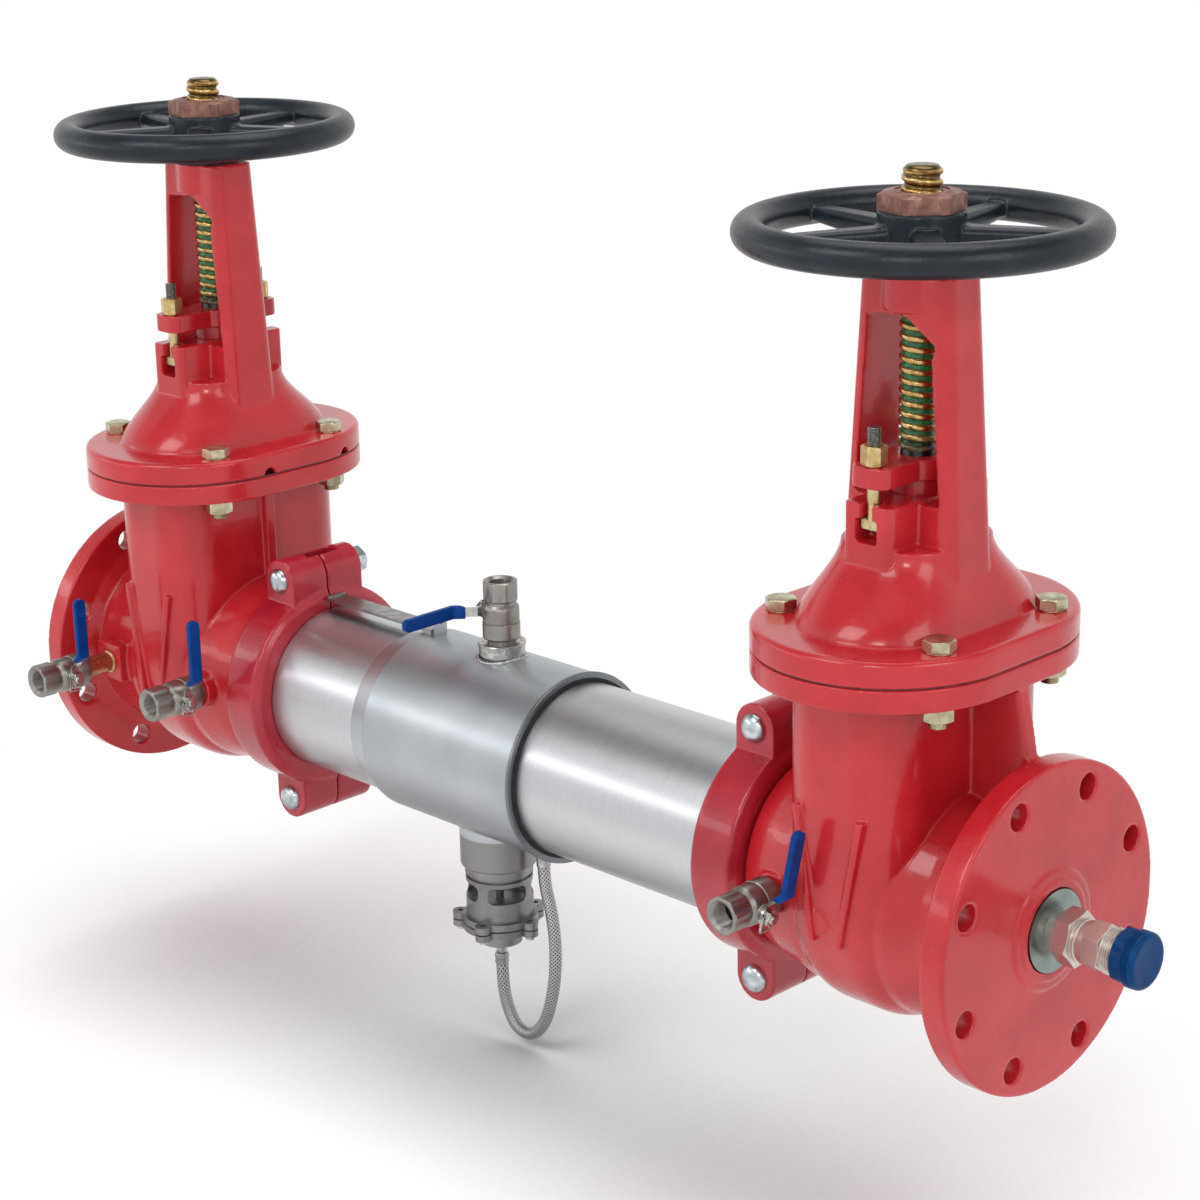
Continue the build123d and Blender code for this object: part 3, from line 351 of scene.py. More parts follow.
def thread_tree():
    """Geometry nodes: a grid rolled into a rod whose radius follows a screw thread."""
    tree, given = begun_group("screw_thread", Low="Float", High="Float", Radius="Float", Depth="Float",
                              Pitch="Float", Sharpness="Float", Hand="Float", Rows="Int", Finish="Material")
    grid = add(tree, "GeometryNodeMeshGrid", {"Size X": 1.0, "Size Y": 1.0, "Vertices X": 49,
                                              "Vertices Y": given["Rows"]}).outputs["Mesh"]
    here = add(tree, "ShaderNodeSeparateXYZ",
               {0: add(tree, "GeometryNodeInputPosition").outputs[0]}).outputs
    along = add(tree, "ShaderNodeMath", {0: here["Y"], 1: 0.5}, operation="ADD")
    around = add(tree, "ShaderNodeMath", {0: here["X"], 1: 0.5}, operation="ADD")
    span = add(tree, "ShaderNodeMath", {0: given["High"], 1: given["Low"]}, operation="SUBTRACT")
    risen = add(tree, "ShaderNodeMath", {0: along, 1: span}, operation="MULTIPLY")
    height = add(tree, "ShaderNodeMath", {0: given["Low"], 1: risen}, operation="ADD")
    pitches = add(tree, "ShaderNodeMath", {0: height, 1: given["Pitch"]}, operation="DIVIDE")
    twist = add(tree, "ShaderNodeMath", {0: around, 1: given["Hand"]}, operation="MULTIPLY")
    turns = add(tree, "ShaderNodeMath", {0: pitches, 1: twist}, operation="ADD")
    wave = add(tree, "ShaderNodeMath", {0: turns, 1: 0.5}, operation="PINGPONG")
    centred = add(tree, "ShaderNodeMath", {0: wave, 1: 0.25}, operation="SUBTRACT")
    steeper = add(tree, "ShaderNodeMath", {0: centred, 1: given["Sharpness"]}, operation="MULTIPLY")
    raised = add(tree, "ShaderNodeMath", {0: steeper, 1: 0.5}, operation="ADD")
    flank = add(tree, "ShaderNodeClamp", {0: raised})
    left_over = add(tree, "ShaderNodeMath", {0: 1.0, 1: along}, operation="SUBTRACT")
    from_end = add(tree, "ShaderNodeMath", {0: along, 1: left_over}, operation="MINIMUM")
    sunk = add(tree, "ShaderNodeMath", {0: 1.0, 1: flank}, operation="SUBTRACT")
    cut = add(tree, "ShaderNodeMath", {0: given["Depth"], 1: sunk}, operation="MULTIPLY")
    screwed = add(tree, "ShaderNodeMath", {0: given["Radius"], 1: cut}, operation="SUBTRACT")
    open_here = add(tree, "ShaderNodeMath", {0: from_end, 1: 0.0005}, operation="GREATER_THAN")
    radius = add(tree, "ShaderNodeMath", {0: screwed, 1: open_here}, operation="MULTIPLY")
    angle = add(tree, "ShaderNodeMath", {0: around, 1: 2 * math.pi}, operation="MULTIPLY")
    ring = []
    for wave_form in ("COSINE", "SINE"):
        share = add(tree, "ShaderNodeMath", {0: angle}, operation=wave_form)
        ring.append(add(tree, "ShaderNodeMath", {0: radius, 1: share}, operation="MULTIPLY"))
    place = add(tree, "ShaderNodeCombineXYZ", {"X": ring[0], "Y": ring[1], "Z": height})
    rolled = add(tree, "GeometryNodeSetPosition", {"Geometry": grid, "Position": place})
    sealed = add(tree, "GeometryNodeMergeByDistance", {"Geometry": rolled, "Distance": 1e-6})
    return ended_group(tree, sealed, given["Finish"])


screw_thread = thread_tree()


def grown(tree, values, carrier=None):
    """Runs a geometry nodes tree once and returns its result as a plain bmesh."""
    holder = placed("holder", carrier or bpy.data.meshes.new("holder"))
    modifier = holder.modifiers.new("rule", "NODES")
    modifier.node_group = tree
    for item in tree.interface.items_tree:
        if item.in_out == "INPUT" and item.name in values:
            modifier[item.identifier] = values[item.name]
    mesh = as_built(holder)
    holder.modifiers.clear()
    bpy.data.objects.remove(holder)
    form = bmesh.new()
    form.from_mesh(mesh)
    bpy.data.meshes.remove(mesh)
    bmesh.ops.recalc_face_normals(form, faces=form.faces)
    return form


def threaded(z0, z1, radius, pitch, depth, material, hand=-1.0, sharpness=3.0, steps=8):
    """A screw thread from z0 to z1; hand -1 is right-handed."""
    rows = max(6, int((z1 - z0) / pitch * steps))
    return grown(screw_thread, {"Low": z0, "High": z1, "Radius": radius, "Depth": depth, "Pitch": pitch,
                                "Sharpness": sharpness, "Hand": hand, "Rows": rows, "Finish": material})


def scatter_tree():
    """Geometry nodes: one fastener set on every point of a mesh, each turned by its own angle."""
    tree, given = begun_group("fasteners_on_points", Geometry="Geometry", Fastener="Object", Turn="Float",
                              Finish="Material")
    what = add(tree, "GeometryNodeObjectInfo", {"Object": given["Fastener"]}).outputs["Geometry"]
    order = add(tree, "GeometryNodeInputIndex")
    angle = add(tree, "ShaderNodeMath", {0: order, 1: given["Turn"]}, operation="MULTIPLY")
    spin = add(tree, "ShaderNodeCombineXYZ", {"Z": angle})
    spots = add(tree, "GeometryNodeMeshToPoints", {"Mesh": given["Geometry"]})
    copies = add(tree, "GeometryNodeInstanceOnPoints", {"Points": spots, "Instance": what, "Rotation": spin})
    return ended_group(tree, copies, given["Finish"])


fasteners_on_points = scatter_tree()


def repeated(form, points, material, turn=0.0):
    """The fastener form on each point, as one bmesh."""
    mesh = bpy.data.meshes.new("fastener")
    form.to_mesh(mesh)
    form.free()
    sample = placed("fastener", mesh)
    carrier = bpy.data.meshes.new("spots")
    carrier.from_pydata([tuple(p) for p in points], [], [])
    result = grown(fasteners_on_points, {"Fastener": sample, "Turn": turn, "Finish": material}, carrier)
    bpy.data.objects.remove(sample)
    return result


inlet_stem_x, outlet_stem_x = 0.1455, 1.0725
stem_axes = {"inlet": inlet_stem_x, "outlet": outlet_stem_x}
plate_top, joint_under = 0.2445, 0.201
bolt_x, bolt_y, bolt_flats = 0.083, 0.074, 0.024
bolt_points = [(x + dx, dy, 0) for x in stem_axes.values() for dx in (-bolt_x, bolt_x)
               for dy in (-bolt_y, bolt_y)]
bolt = joined(hexagon(bolt_flats, plate_top + 0.0006, plate_top + 0.0105, crown=0.0003, turn=12),
              lathed([(plate_top, 0), (plate_top + 0.0007, 0), (plate_top + 0.0007, 0.0112), (plate_top, 0.0115)]),
              lathed([(joint_under - 0.002, 0.0), (plate_top + 0.001, 0.0), (plate_top + 0.001, 0.008),
                      (joint_under - 0.002, 0.008)], sides=32),
              threaded(joint_under - 0.020, joint_under - 0.001, 0.008, 0.002, 0.0011, yellow_zinc))
piece("bonnet_hex_bolts", repeated(bolt, bolt_points, yellow_zinc, 0.7), yellow_zinc, "pipeline",
      ["bonnet_bolts"])
nut = hexagon(bolt_flats, joint_under - 0.014, joint_under - 0.0002, 0.0081, turn=25)
piece("bonnet_hex_nuts", repeated(nut, bolt_points, yellow_zinc, 0.4), yellow_zinc, "pipeline",
      ["bonnet_nuts"])

# Gland follower and its T-bolts: a cast bar coated with the valve, drawn down on the packing by two brass nuts.
# The bolts are straw-coloured zinc with bare grey threads above the nuts.
small_red = red_paint("red_epoxy_on_gland_bar", "A2171F", "AE1C25", "B6232C")
piece("gland_bars", moulded("gland_followers", 1.0, 4), small_red, "pipeline", ["gland_followers"],
      sharp=0)

t_bolt, tree, principled, at = finish_named("straw_zinc_with_bare_thread", "CDBD8C", Metallic=1.0, Roughness=0.3)
height = add(tree, "ShaderNodeSeparateXYZ", {0: at}).outputs["Z"]
straw = clouds(tree, at, 4, ((0.3, "B7A472"), (0.7, "DACB9C")))
bare = clouds(tree, at, 2, ((0.3, "5E5E5C"), (0.7, "9A9A97")))
above_nut = add(tree, "ShaderNodeMapRange", {"Value": height, "From Min": 0.393, "From Max": 0.396})
color = add(tree, "ShaderNodeMix", {0: above_nut, 6: straw, 7: bare}, data_type="RGBA")
connect(principled, {"Base Color": color.outputs[2],
                     "Normal": relief(tree, mottle(tree, at, 0.8), 0.02, edge_mm=0.4)})
gland_bolt_y = 0.056
gland_points = [(x, y, 0) for x in stem_axes.values() for y in (-gland_bolt_y, gland_bolt_y)]
head = block(0, 0, 0.3295, 0.019, 0.010, 0.009)
bmesh.ops.bevel(head, geom=head.edges[:], offset=0.0008, segments=2, affect="EDGES")
t_form = joined(head, lathed([(0.333, 0.0), (0.372, 0.0), (0.372, 0.0053), (0.333, 0.0053)], sides=32),
                threaded(0.370, 0.410, 0.0055, 0.0018, 0.0009, t_bolt))
piece("gland_t_bolts", repeated(t_form, gland_points, t_bolt), t_bolt, "pipeline", ["gland_bolts"])


def yellow_metal(name, deep, mid, pale, rough):
    """Brass or bronze left as machined: warm metallic, hazed in patches where hands and air have dulled it."""
    material, tree, principled, at = finish_named(name, mid, Metallic=1.0, Roughness=rough)
    cloud = mottle(tree, at, 6, 4.0, 0.6)
    color = add(tree, "ShaderNodeValToRGB", {"Fac": cloud}, ((0.28, deep), (0.5, mid), (0.74, pale)))
    hazed = add(tree, "ShaderNodeMapRange", {"Value": cloud, "From Min": 0.3, "From Max": 0.7,
                                             "To Min": rough + 0.14, "To Max": rough - 0.06})
    connect(principled, {"Base Color": color, "Roughness": hazed,
                         "Normal": relief(tree, mottle(tree, at, 0.8, 3.0), 0.03, edge_mm=0.5)})
    return material


gland_brass = yellow_metal("turned_brass", "B09662", "CDB27A", "E4D2A2", 0.28)
gland_nut = hexagon(0.019, 0.3782, 0.395, 0.0056, turn=10)
piece("gland_hex_nuts", repeated(gland_nut, gland_points, gland_brass, 0.5), gland_brass, "pipeline",
      ["gland_nuts"])

# Stems: manganese bronze bar with a rolled 9 mm acme thread that rises through the yoke nut.
# Green grease lies in the grooves, gathers black at the bottom of the thread and is wiped thin on the crests;
# the plain part below the thread, seen only with the gate up, is bare.


def off_axis(tree, parts, center_x):
    """Distance from the upright line at center_x."""
    off = add(tree, "ShaderNodeMath", {0: parts["X"], 1: center_x}, operation="SUBTRACT")
    squares = [add(tree, "ShaderNodeMath", {0: side, 1: side}, operation="MULTIPLY")
               for side in (off, parts["Y"])]
    total = add(tree, "ShaderNodeMath", {0: squares[0], 1: squares[1]}, operation="ADD")
    return add(tree, "ShaderNodeMath", {0: total}, operation="SQRT")


def stem_finish(tree, principled, at, center_x):
    """Grease by depth in the thread: the distance from the stem's axis tells groove from crest."""
    parts = add(tree, "ShaderNodeSeparateXYZ", {0: at}).outputs
    away = off_axis(tree, parts, center_x)
    smear = mottle(tree, at, 7, 3.0, 0.6)
    centred = add(tree, "ShaderNodeMath", {0: smear, 1: 0.5}, operation="SUBTRACT")
    ragged = add(tree, "ShaderNodeMath", {0: centred, 1: 0.0022}, operation="MULTIPLY")
    edge = add(tree, "ShaderNodeMath", {0: away, 1: ragged}, operation="ADD")
    groove = add(tree, "ShaderNodeMapRange", {"Value": edge, "From Min": 0.0156, "From Max": 0.0146})
    on_thread = add(tree, "ShaderNodeMapRange", {"Value": parts["Z"], "From Min": 0.372, "From Max": 0.378})
    below_nut = add(tree, "ShaderNodeMapRange", {"Value": parts["Z"], "From Min": 0.528, "From Max": 0.500})
    inside = add(tree, "ShaderNodeMath", {0: below_nut, 1: on_thread}, operation="MULTIPLY")
    groove = add(tree, "ShaderNodeMath", {0: groove, 1: inside}, operation="MULTIPLY")
    bronze = add(tree, "ShaderNodeValToRGB", {"Fac": smear},
                 ((0.3, "A0814C"), (0.5, "BD9C60"), (0.7, "D8BD86")))
    # The bronze is made darker towards the roots of the thread.
    deep = add(tree, "ShaderNodeMapRange", {"Value": away, "From Min": 0.0158, "From Max": 0.0144,
                                            "To Min": 0.0, "To Max": 0.85})
    darker_towards_roots = add(tree, "ShaderNodeMath", {0: deep, 1: on_thread}, operation="MULTIPLY")
    bronze = add(tree, "ShaderNodeMix", {0: darker_towards_roots, 6: bronze, 7: linear("4A3A22")}, data_type="RGBA").outputs[2]
    green = clouds(tree, at, 3.0, ((0.3, "0B3A22"), (0.7, "2C7D45")))
    uneven = add(tree, "ShaderNodeMath", {0: smear, 1: 0.02}, operation="MULTIPLY")
    height = add(tree, "ShaderNodeMath", {0: parts["Z"], 1: uneven}, operation="ADD")
    low = add(tree, "ShaderNodeMapRange", {"Value": height, "From Min": 0.410, "From Max": 0.394})
    low = add(tree, "ShaderNodeMath", {0: low, 1: on_thread}, operation="MULTIPLY")
    green = add(tree, "ShaderNodeMix", {0: low, 6: green, 7: linear("0A120E")}, data_type="RGBA").outputs[2]
    black = add(tree, "ShaderNodeMath", {0: low, 1: 0.9}, operation="MULTIPLY")
    cover = add(tree, "ShaderNodeMath", {0: groove, 1: black}, operation="MAXIMUM")
    greased = add(tree, "ShaderNodeMix", {0: cover, 6: bronze, 7: green}, data_type="RGBA")
    bare = add(tree, "ShaderNodeMath", {0: 1.0, 1: cover}, operation="SUBTRACT")
    sheen = add(tree, "ShaderNodeMapRange", {"Value": smear, "From Min": 0.3, "From Max": 0.7,
                                             "To Min": 0.34, "To Max": 0.18})
    connect(principled, {"Base Color": greased.outputs[2], "Metallic": bare, "Roughness": sheen,
                         "Normal": relief(tree, mottle(tree, at, 1.5), 0.08)})


for valve, x in stem_axes.items():
    stem_metal, tree, principled, at = finish_named(f"greased_manganese_bronze_{valve}", "C9A45C", Metallic=1.0,
                                                    Roughness=0.25)
    stem_finish(tree, principled, at, x)
    screw = threaded(0.382, 0.6095, 0.0165, 0.009, 0.0024, stem_metal, hand=1.0, sharpness=5.0, steps=12)
    plain = lathed([(0.092, 0.0), (0.384, 0.0), (0.384, 0.0143), (0.3835, 0.0145), (0.092, 0.0145)], sides=48)
    foot = lathed([(0.080, 0.0), (0.092, 0.0), (0.092, 0.0195), (0.080, 0.0195)], sides=48)
    tip = lathed([(0.606, 0.0), (0.6115, 0.0), (0.6115, 0.0125), (0.6085, 0.0155), (0.606, 0.0155)], sides=48)
    piece(f"{valve}_threaded_stem", moved(joined(screw, plain, foot, tip), Matrix.Translation((x, 0, 0))),
          stem_metal, f"{valve}_gate", [f"{valve}_stem"], sharp=50)

# Wedges: iron gates coated all over in vulcanised black rubber, seen down the inlet's bore.
wedge_rubber = polymer("vulcanised_gate_rubber", "222224", 12, ((0.35, "1A1A1C"), (0.7, "2F3033")), 1.5, 0.06, 2.5,
                       Roughness=0.5)
for valve in stem_axes:
    dress(f"{valve}_wedge", wedge_rubber)

# Yoke nuts and wheel nuts: bronze castings, brown and rough outside, turned where they bear.
# The wheel nut is a thin chamfered hexagon with a turned ring round the stem.
nut_bronze, tree, principled, at = finish_named("brown_cast_bronze", "936457", Metallic=0.75, Roughness=0.5)
color = clouds(tree, at, 9, ((0.3, "75524A"), (0.5, "8E665B"), (0.72, "A88073")), 4.0, 0.65)
connect(principled, {"Base Color": color, "Normal": relief(tree, mottle(tree, at, 1.6, 4.0), 0.14, edge_mm=0.8)})
hub_top, wheel_nut_flats = 0.576, 0.0625
for valve, x in stem_axes.items():
    dress(f"{valve}_yoke_nut", nut_bronze)
    outline = [(hub_top + 0.0148, 0.0216), (hub_top + 0.0160, 0.0218), (hub_top + 0.0163, 0.0232),
               (hub_top + 0.0154, 0.0244), (hub_top + 0.0150, 0.0290), (hub_top + 0.0145, 0.0312),
               (hub_top + 0.0128, 0.0375), (hub_top + 0.0008, 0.0375), (hub_top, 0.0350), (hub_top, 0.0216)]
    nut = lathed(outline, wheel_nut_flats, 120, turn=15)
    piece(f"{valve}_wheel_hex_nut", moved(nut, Matrix.Translation((x, 0, 0))), nut_bronze, f"{valve}_wheel",
          [f"{valve}_wheel_nut"])

# Handwheels: grey iron castings with five spokes, fillets where the spokes meet rim and hub, in blue-black enamel.
# The enamel is satin and lies thick over the sand grain; the caps of the yoke nuts below have the same coat.
wheel_enamel, tree, principled, at = finish_named("blue_black_enamel_on_iron", "161E26", Roughness=0.3,
                                                  Specular_IOR_Level=0.32)
color = clouds(tree, at, 40, ((0.3, "11181F"), (0.55, "161E26"), (0.75, "1D2730")))
sand = mottle(tree, at, 2.2, 4.0, 0.6)
satin = add(tree, "ShaderNodeMapRange",
            {"Value": sand, "From Min": 0.3, "From Max": 0.7, "To Min": 0.26, "To Max": 0.4})
connect(principled, {"Base Color": color, "Roughness": satin,
                     "Normal": relief(tree, mottle(tree, at, 11, 2.0), 0.35, onto=relief(tree, sand, 0.09))})
wheel_form = moulded("inlet_handwheel", 1.3, 5)
shifted = wheel_form.copy()
bmesh.ops.translate(shifted, verts=shifted.verts, vec=(outlet_stem_x - inlet_stem_x, 0, 0))
for valve, form in (("inlet", wheel_form), ("outlet", shifted)):
    piece(f"{valve}_handwheel_casting", form, wheel_enamel, f"{valve}_wheel", [f"{valve}_handwheel"],
          sharp=0)
dress("yoke_caps", wheel_enamel)

# Grooved couplings: two ductile iron halves keyed into the pipe grooves, in a bluer red than the valves.
# Button-head track bolts with nuts behind draw the halves together; they are bright zinc.
coupling_red = red_paint("crimson_coupling_epoxy", "9A1626", "A41B2C", "AD2434")
for side in ("front", "back"):
    piece(f"coupling_{side}_castings", moulded(f"coupling_{side}_halves", 1.3, 12), coupling_red, "pipeline",
          [f"coupling_{side}_halves"], sharp=0)
bright_zinc = plated("bright_zinc", "9CA3A8", "B9C0C4", "D6DBDE", 0.26, grain_mm=0.02)
coupling_x, pad_z = (0.284, 0.934), 0.118
coupling_points = [(x, 0, z) for x in coupling_x for z in (-pad_z, pad_z)]
dome = [(0.0461 + 0.0082 * math.sin(a), 0.0134 * math.cos(a)) for a in (0, 0.25, 0.5, 0.75, 1.0, 1.25, 1.45)]
track = joined(lathed([(0.0458, 0.0), (0.0543, 0.0)] + dome[::-1] + [(0.0458, 0.0134)], sides=48),
               lathed([(-0.046, 0.0), (0.047, 0.0), (0.047, 0.0079), (-0.046, 0.0079)], sides=32),
               threaded(-0.066, -0.045, 0.008, 0.002, 0.0011, bright_zinc))
piece("coupling_track_bolts", repeated(moved(track, lie_y), coupling_points, bright_zinc), bright_zinc,
      "pipeline", ["coupling_bolts"])
nut = hexagon(0.0254, -0.061, -0.0462, 0.0081)
piece("coupling_hex_nuts", repeated(moved(nut, lie_y), coupling_points, bright_zinc), bright_zinc,
      "pipeline", ["coupling_nuts"])

# Check housing and outlet tube: rolled and welded 304 stainless. The slim ends are brushed round to a bright
# finish, the swelled middle is pickled to a bluish matte, and a dark rolled lip closes it round the outlet tube.


def stainless(name, housing):
    """Brushed round the tube, so gloss is drawn out along its axis; the pickled middle starts where the cone does."""
    material, tree, principled, at = finish_named(name, "C6C7CA", Metallic=1.0, Roughness=0.32, Anisotropic=0.6,
                                                  Anisotropic_Rotation=0.25)
    parts = add(tree, "ShaderNodeSeparateXYZ", {0: at}).outputs
    lines = mottle(tree, at, 40, 3.0, 0.6, (30, 1, 1))
    color = add(tree, "ShaderNodeValToRGB", {"Fac": lines},
                ((0.3, "C1C2C5"), (0.5, "C6C7CA"), (0.7, "CBCCCE"))).outputs[0]
    rough = add(tree, "ShaderNodeMapRange",
                {"Value": lines, "From Min": 0.3, "From Max": 0.7, "To Min": 0.3, "To Max": 0.34})
    if housing:
        pickled = clouds(tree, at, 60, ((0.3, "A9AFB3"), (0.5, "B1B6BA"), (0.7, "B9BDC1")), 3.0, 0.5)
        middle = add(tree, "ShaderNodeMapRange", {"Value": parts["X"], "From Min": 0.4335, "From Max": 0.4350})
        color = add(tree, "ShaderNodeMix", {0: middle, 6: color, 7: pickled}, data_type="RGBA").outputs[2]
        # Painted highlight: the cone is coloured a lighter steel, standing in for the light it catches.
        painted_highlight_from = add(tree, "ShaderNodeMapRange", {"Value": parts["X"], "From Min": 0.4345, "From Max": 0.4370})
        painted_highlight_to = add(tree, "ShaderNodeMapRange", {"Value": parts["X"], "From Min": 0.4600, "From Max": 0.4575})
        cone = add(tree, "ShaderNodeMath", {0: painted_highlight_from, 1: painted_highlight_to}, operation="MULTIPLY")
        color = add(tree, "ShaderNodeMix", {0: cone, 6: color, 7: linear("BDC2C5")}, data_type="RGBA").outputs[2]
        duller = add(tree, "ShaderNodeMath", {0: middle, 1: 0.05}, operation="MULTIPLY")
        rough = add(tree, "ShaderNodeMath", {0: rough, 1: duller}, operation="ADD")
        rim = add(tree, "ShaderNodeMapRange", {"Value": parts["X"], "From Min": 0.6646, "From Max": 0.6651})
        dark_rim = add(tree, "ShaderNodeMath", {0: rim, 1: 0.8}, operation="MULTIPLY")
        color = add(tree, "ShaderNodeMix", {0: dark_rim, 6: color, 7: linear("6A6D70")}, data_type="RGBA").outputs[2]
        collar = add(tree, "ShaderNodeMapRange", {"Value": parts["Z"], "From Min": -0.0935, "From Max": -0.0955})
        color = add(tree, "ShaderNodeMix", {0: collar, 6: color, 7: linear("8E8E8C")}, data_type="RGBA").outputs[2]
        duller = add(tree, "ShaderNodeMath", {0: collar, 1: 0.08}, operation="MULTIPLY")
        rough = add(tree, "ShaderNodeMath", {0: rough, 1: duller}, operation="ADD")
    connect(principled, {"Base Color": color, "Roughness": rough,
                         "Tangent": add(tree, "ShaderNodeTangent", direction_type="RADIAL", axis="X"),
                         "Normal": relief(tree, lines, 0.003)})
    return material


dress("check_housing", stainless("brushed_and_pickled_stainless", True))
dress("outlet_tube", stainless("round_brushed_stainless", False))
strap_steel = plated("rolled_stainless_bar", "8A8886", "9C9A98", "ACAAA8", 0.34)
weld_metal = plated("as_laid_weld_bead", "9A9996", "B2B1AE", "CAC9C5", 0.3, 4.0)


def ball(radius, flat=1.0):
    """One puddle of a weld bead."""
    form = bmesh.new()
    bmesh.ops.create_icosphere(form, subdivisions=2, radius=radius,
                               matrix=Matrix.Diagonal((1.0, 1.0, flat, 1.0)))
    return form


def bead_round(center_x, boss_r, tube_r, below, bead_r, spacing):
    """Puddles where an upright boss meets the tube, overlapping as a welder lays them."""
    count = int(2 * math.pi * boss_r / spacing)
    points = []
    for k in range(count):
        a = 2 * math.pi * k / count
        reach = boss_r + 0.0004 * math.sin(5 * a) + 0.0002 * math.sin(11 * a)
        y = reach * math.sin(a)
        z = math.sqrt(tube_r ** 2 - y ** 2)
        points.append((center_x + reach * math.cos(a), y, -z if below else z))
    return repeated(ball(bead_r, 0.75), points, weld_metal)


# The top cock's boss: a turned half coupling, flared at its mouth, welded on with a ripple bead. The relief collar
# below is joined with a smoother, smaller bead.
tube_r, relief_x, top_cock_x = 0.0915, 0.552, 0.5665
cup = lathed([(0.093, 0.0200), (0.093, 0.0226), (0.0985, 0.0226), (0.1020, 0.0231), (0.1043, 0.0236),
              (0.1052, 0.0230), (0.1052, 0.0196), (0.1046, 0.0190), (0.1046, 0.0142), (0.1040, 0.0142),
              (0.1040, 0.0200)], sides=96)
piece("top_cock_half_coupling", moved(cup, Matrix.Translation((top_cock_x, 0, 0))), weld_metal, "pipeline")
piece("top_cock_weld_bead", bead_round(top_cock_x, 0.0230, tube_r, False, 0.0026, 0.0017), weld_metal, "pipeline",
      sharp=0)
piece("relief_collar_weld_bead", bead_round(relief_x, 0.0380, tube_r, True, 0.0024, 0.0017), weld_metal, "pipeline",
      sharp=0)
dress("retainer_strap", strap_steel)

# Closing ring: the housing's rolled end turns in to the outlet tube, with only a thin dark gap left round it.
end_x = 0.6652
to_x = Matrix.Rotation(math.radians(90), 4, "Y")
closing = lathed([(end_x, 0.0849), (end_x + 0.0026, 0.0849), (end_x + 0.0032, 0.0856), (end_x + 0.0032, 0.0905),
                  (end_x + 0.0028, 0.0916), (end_x, 0.0916)], sides=144)
rim_steel = plated("turned_in_stainless_rim", "6E7073", "7C7F82", "8B8E91", 0.34)
piece("housing_closing_ring", moved(closing, to_x), rim_steel, "pipeline")

# Check modules in the housing: cast stainless seats and spiders, turned discs, and springs of drawn wire. Each
# spring shortens towards its spider as the disc opens; the relief valve's lengthens as its plate drops.
cast_steel = plated("blasted_cast_stainless", "7A7977", "8B8A87", "9B9A96", 0.4)
spring_steel = plated("drawn_spring_wire", "7A7C80", "9EA1A5", "C2C5C8", 0.3)
for k, spider_x in ((1, 0.4837), (2, 0.8117)):
    dress(f"check_{k}_cage", cast_steel)
    dress(f"check_{k}_disc", cast_steel)
    coil = piece(f"check_{k}_coil", node_mesh(f"check_{k}_spring"), spring_steel, "pipeline",
                 [f"check_{k}_spring"], sharp=70)
    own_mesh(coil)
relief_coil = piece("relief_coil", node_mesh("relief_spring"), spring_steel, None, ["relief_spring"],
                    sharp=70)
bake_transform(relief_coil)

# Relief valve: investment-cast stainless cage, cover and stem under the housing, darker than the tube.
relief_steel = plated("dark_cast_stainless", "7C7C7B", "888887", "949392", 0.42, 25.0, grain_mm=0.012)
for node in ("relief_body", "relief_cover", "relief_stem"):
    dress(node, relief_steel)
dress("relief_screws", bright_zinc)

# Sensing hose: PTFE tube in a braid of stainless wire, from the relief cover down, round and up to the housing.
# The braid is drawn as two crossing sets of diagonal ribs, coarser than the real 0.25 mm wire so that it shows.
hose_points = [(0.552, 0, -0.228), (0.552, 0, -0.260), (0.557, 0.001, -0.286), (0.569, 0.002, -0.306),
               (0.590, 0.003, -0.308), (0.606, 0.005, -0.291), (0.616, 0.006, -0.264), (0.622, 0.007, -0.231),
               (0.623, 0.007, -0.196), (0.618, 0.007, -0.163), (0.608, 0.008, -0.137), (0.608, 0.008, -0.112)]
braid, tree, principled, at = finish_named("braided_stainless_wire", "B0B1B3", Metallic=1.0, Roughness=0.3)
flat = add(tree, "ShaderNodeTexCoord").outputs["UV"]
parts = add(tree, "ShaderNodeSeparateXYZ", {0: flat}).outputs
turns_long, turns_round = 90.0, 10.0
ribs = []
for way in (1, -1):
    drawn = [add(tree, "ShaderNodeMath", {0: parts[side], 1: count * 2 * math.pi}, operation="MULTIPLY")
             for side, count in (("X", turns_long), ("Y", way * turns_round))]
    run = add(tree, "ShaderNodeMath", {0: drawn[0], 1: drawn[1]}, operation="ADD")
    ribs.append(add(tree, "ShaderNodeMath", {0: run}, operation="SINE"))
weave = add(tree, "ShaderNodeMath", {0: ribs[0], 1: ribs[1]}, operation="MAXIMUM")
shine = add(tree, "ShaderNodeMapRange", {"Value": weave, "From Min": -0.4, "From Max": 1.0})
color = add(tree, "ShaderNodeValToRGB", {"Fac": shine}, ((0.1, "4C4D4F"), (0.5, "87888A"), (0.9, "C6C7C9")))
connect(principled, {"Base Color": color, "Normal": relief(tree, weave, 0.2)})
crimp_steel = plated("crimped_stainless_ferrule", "8B8B8A", "A5A5A3", "C3C3C1", 0.28)
hub_low = -0.213
stub = [(-0.2385, 0.0), (-0.2385, 0.0067), (-0.2370, 0.0071), (-0.2350, 0.0071), (-0.2345, 0.0066),
        (-0.2325, 0.0066), (-0.2320, 0.0071), (-0.2285, 0.0071), (-0.2265, 0.0062), (-0.2262, 0.0042),
        (-0.2240, 0.0042), (-0.2236, 0.0054), (-0.2205, 0.0054), (-0.2200, 0.0036), (-0.2170, 0.0036),
        (-0.2165, 0.0052), (hub_low, 0.0056), (hub_low, 0.0)]
upper = [(-0.1205, 0.0), (-0.1205, 0.0067), (-0.1190, 0.0071), (-0.1035, 0.0071), (-0.1020, 0.0062),
         (-0.1015, 0.0055), (-0.0912, 0.0055), (-0.0912, 0.0)]
ends = joined(moved(lathed(stub, sides=40), Matrix.Translation((relief_x, 0, 0))),
              moved(lathed(upper, sides=40), Matrix.Translation((0.608, 0.008, 0))))
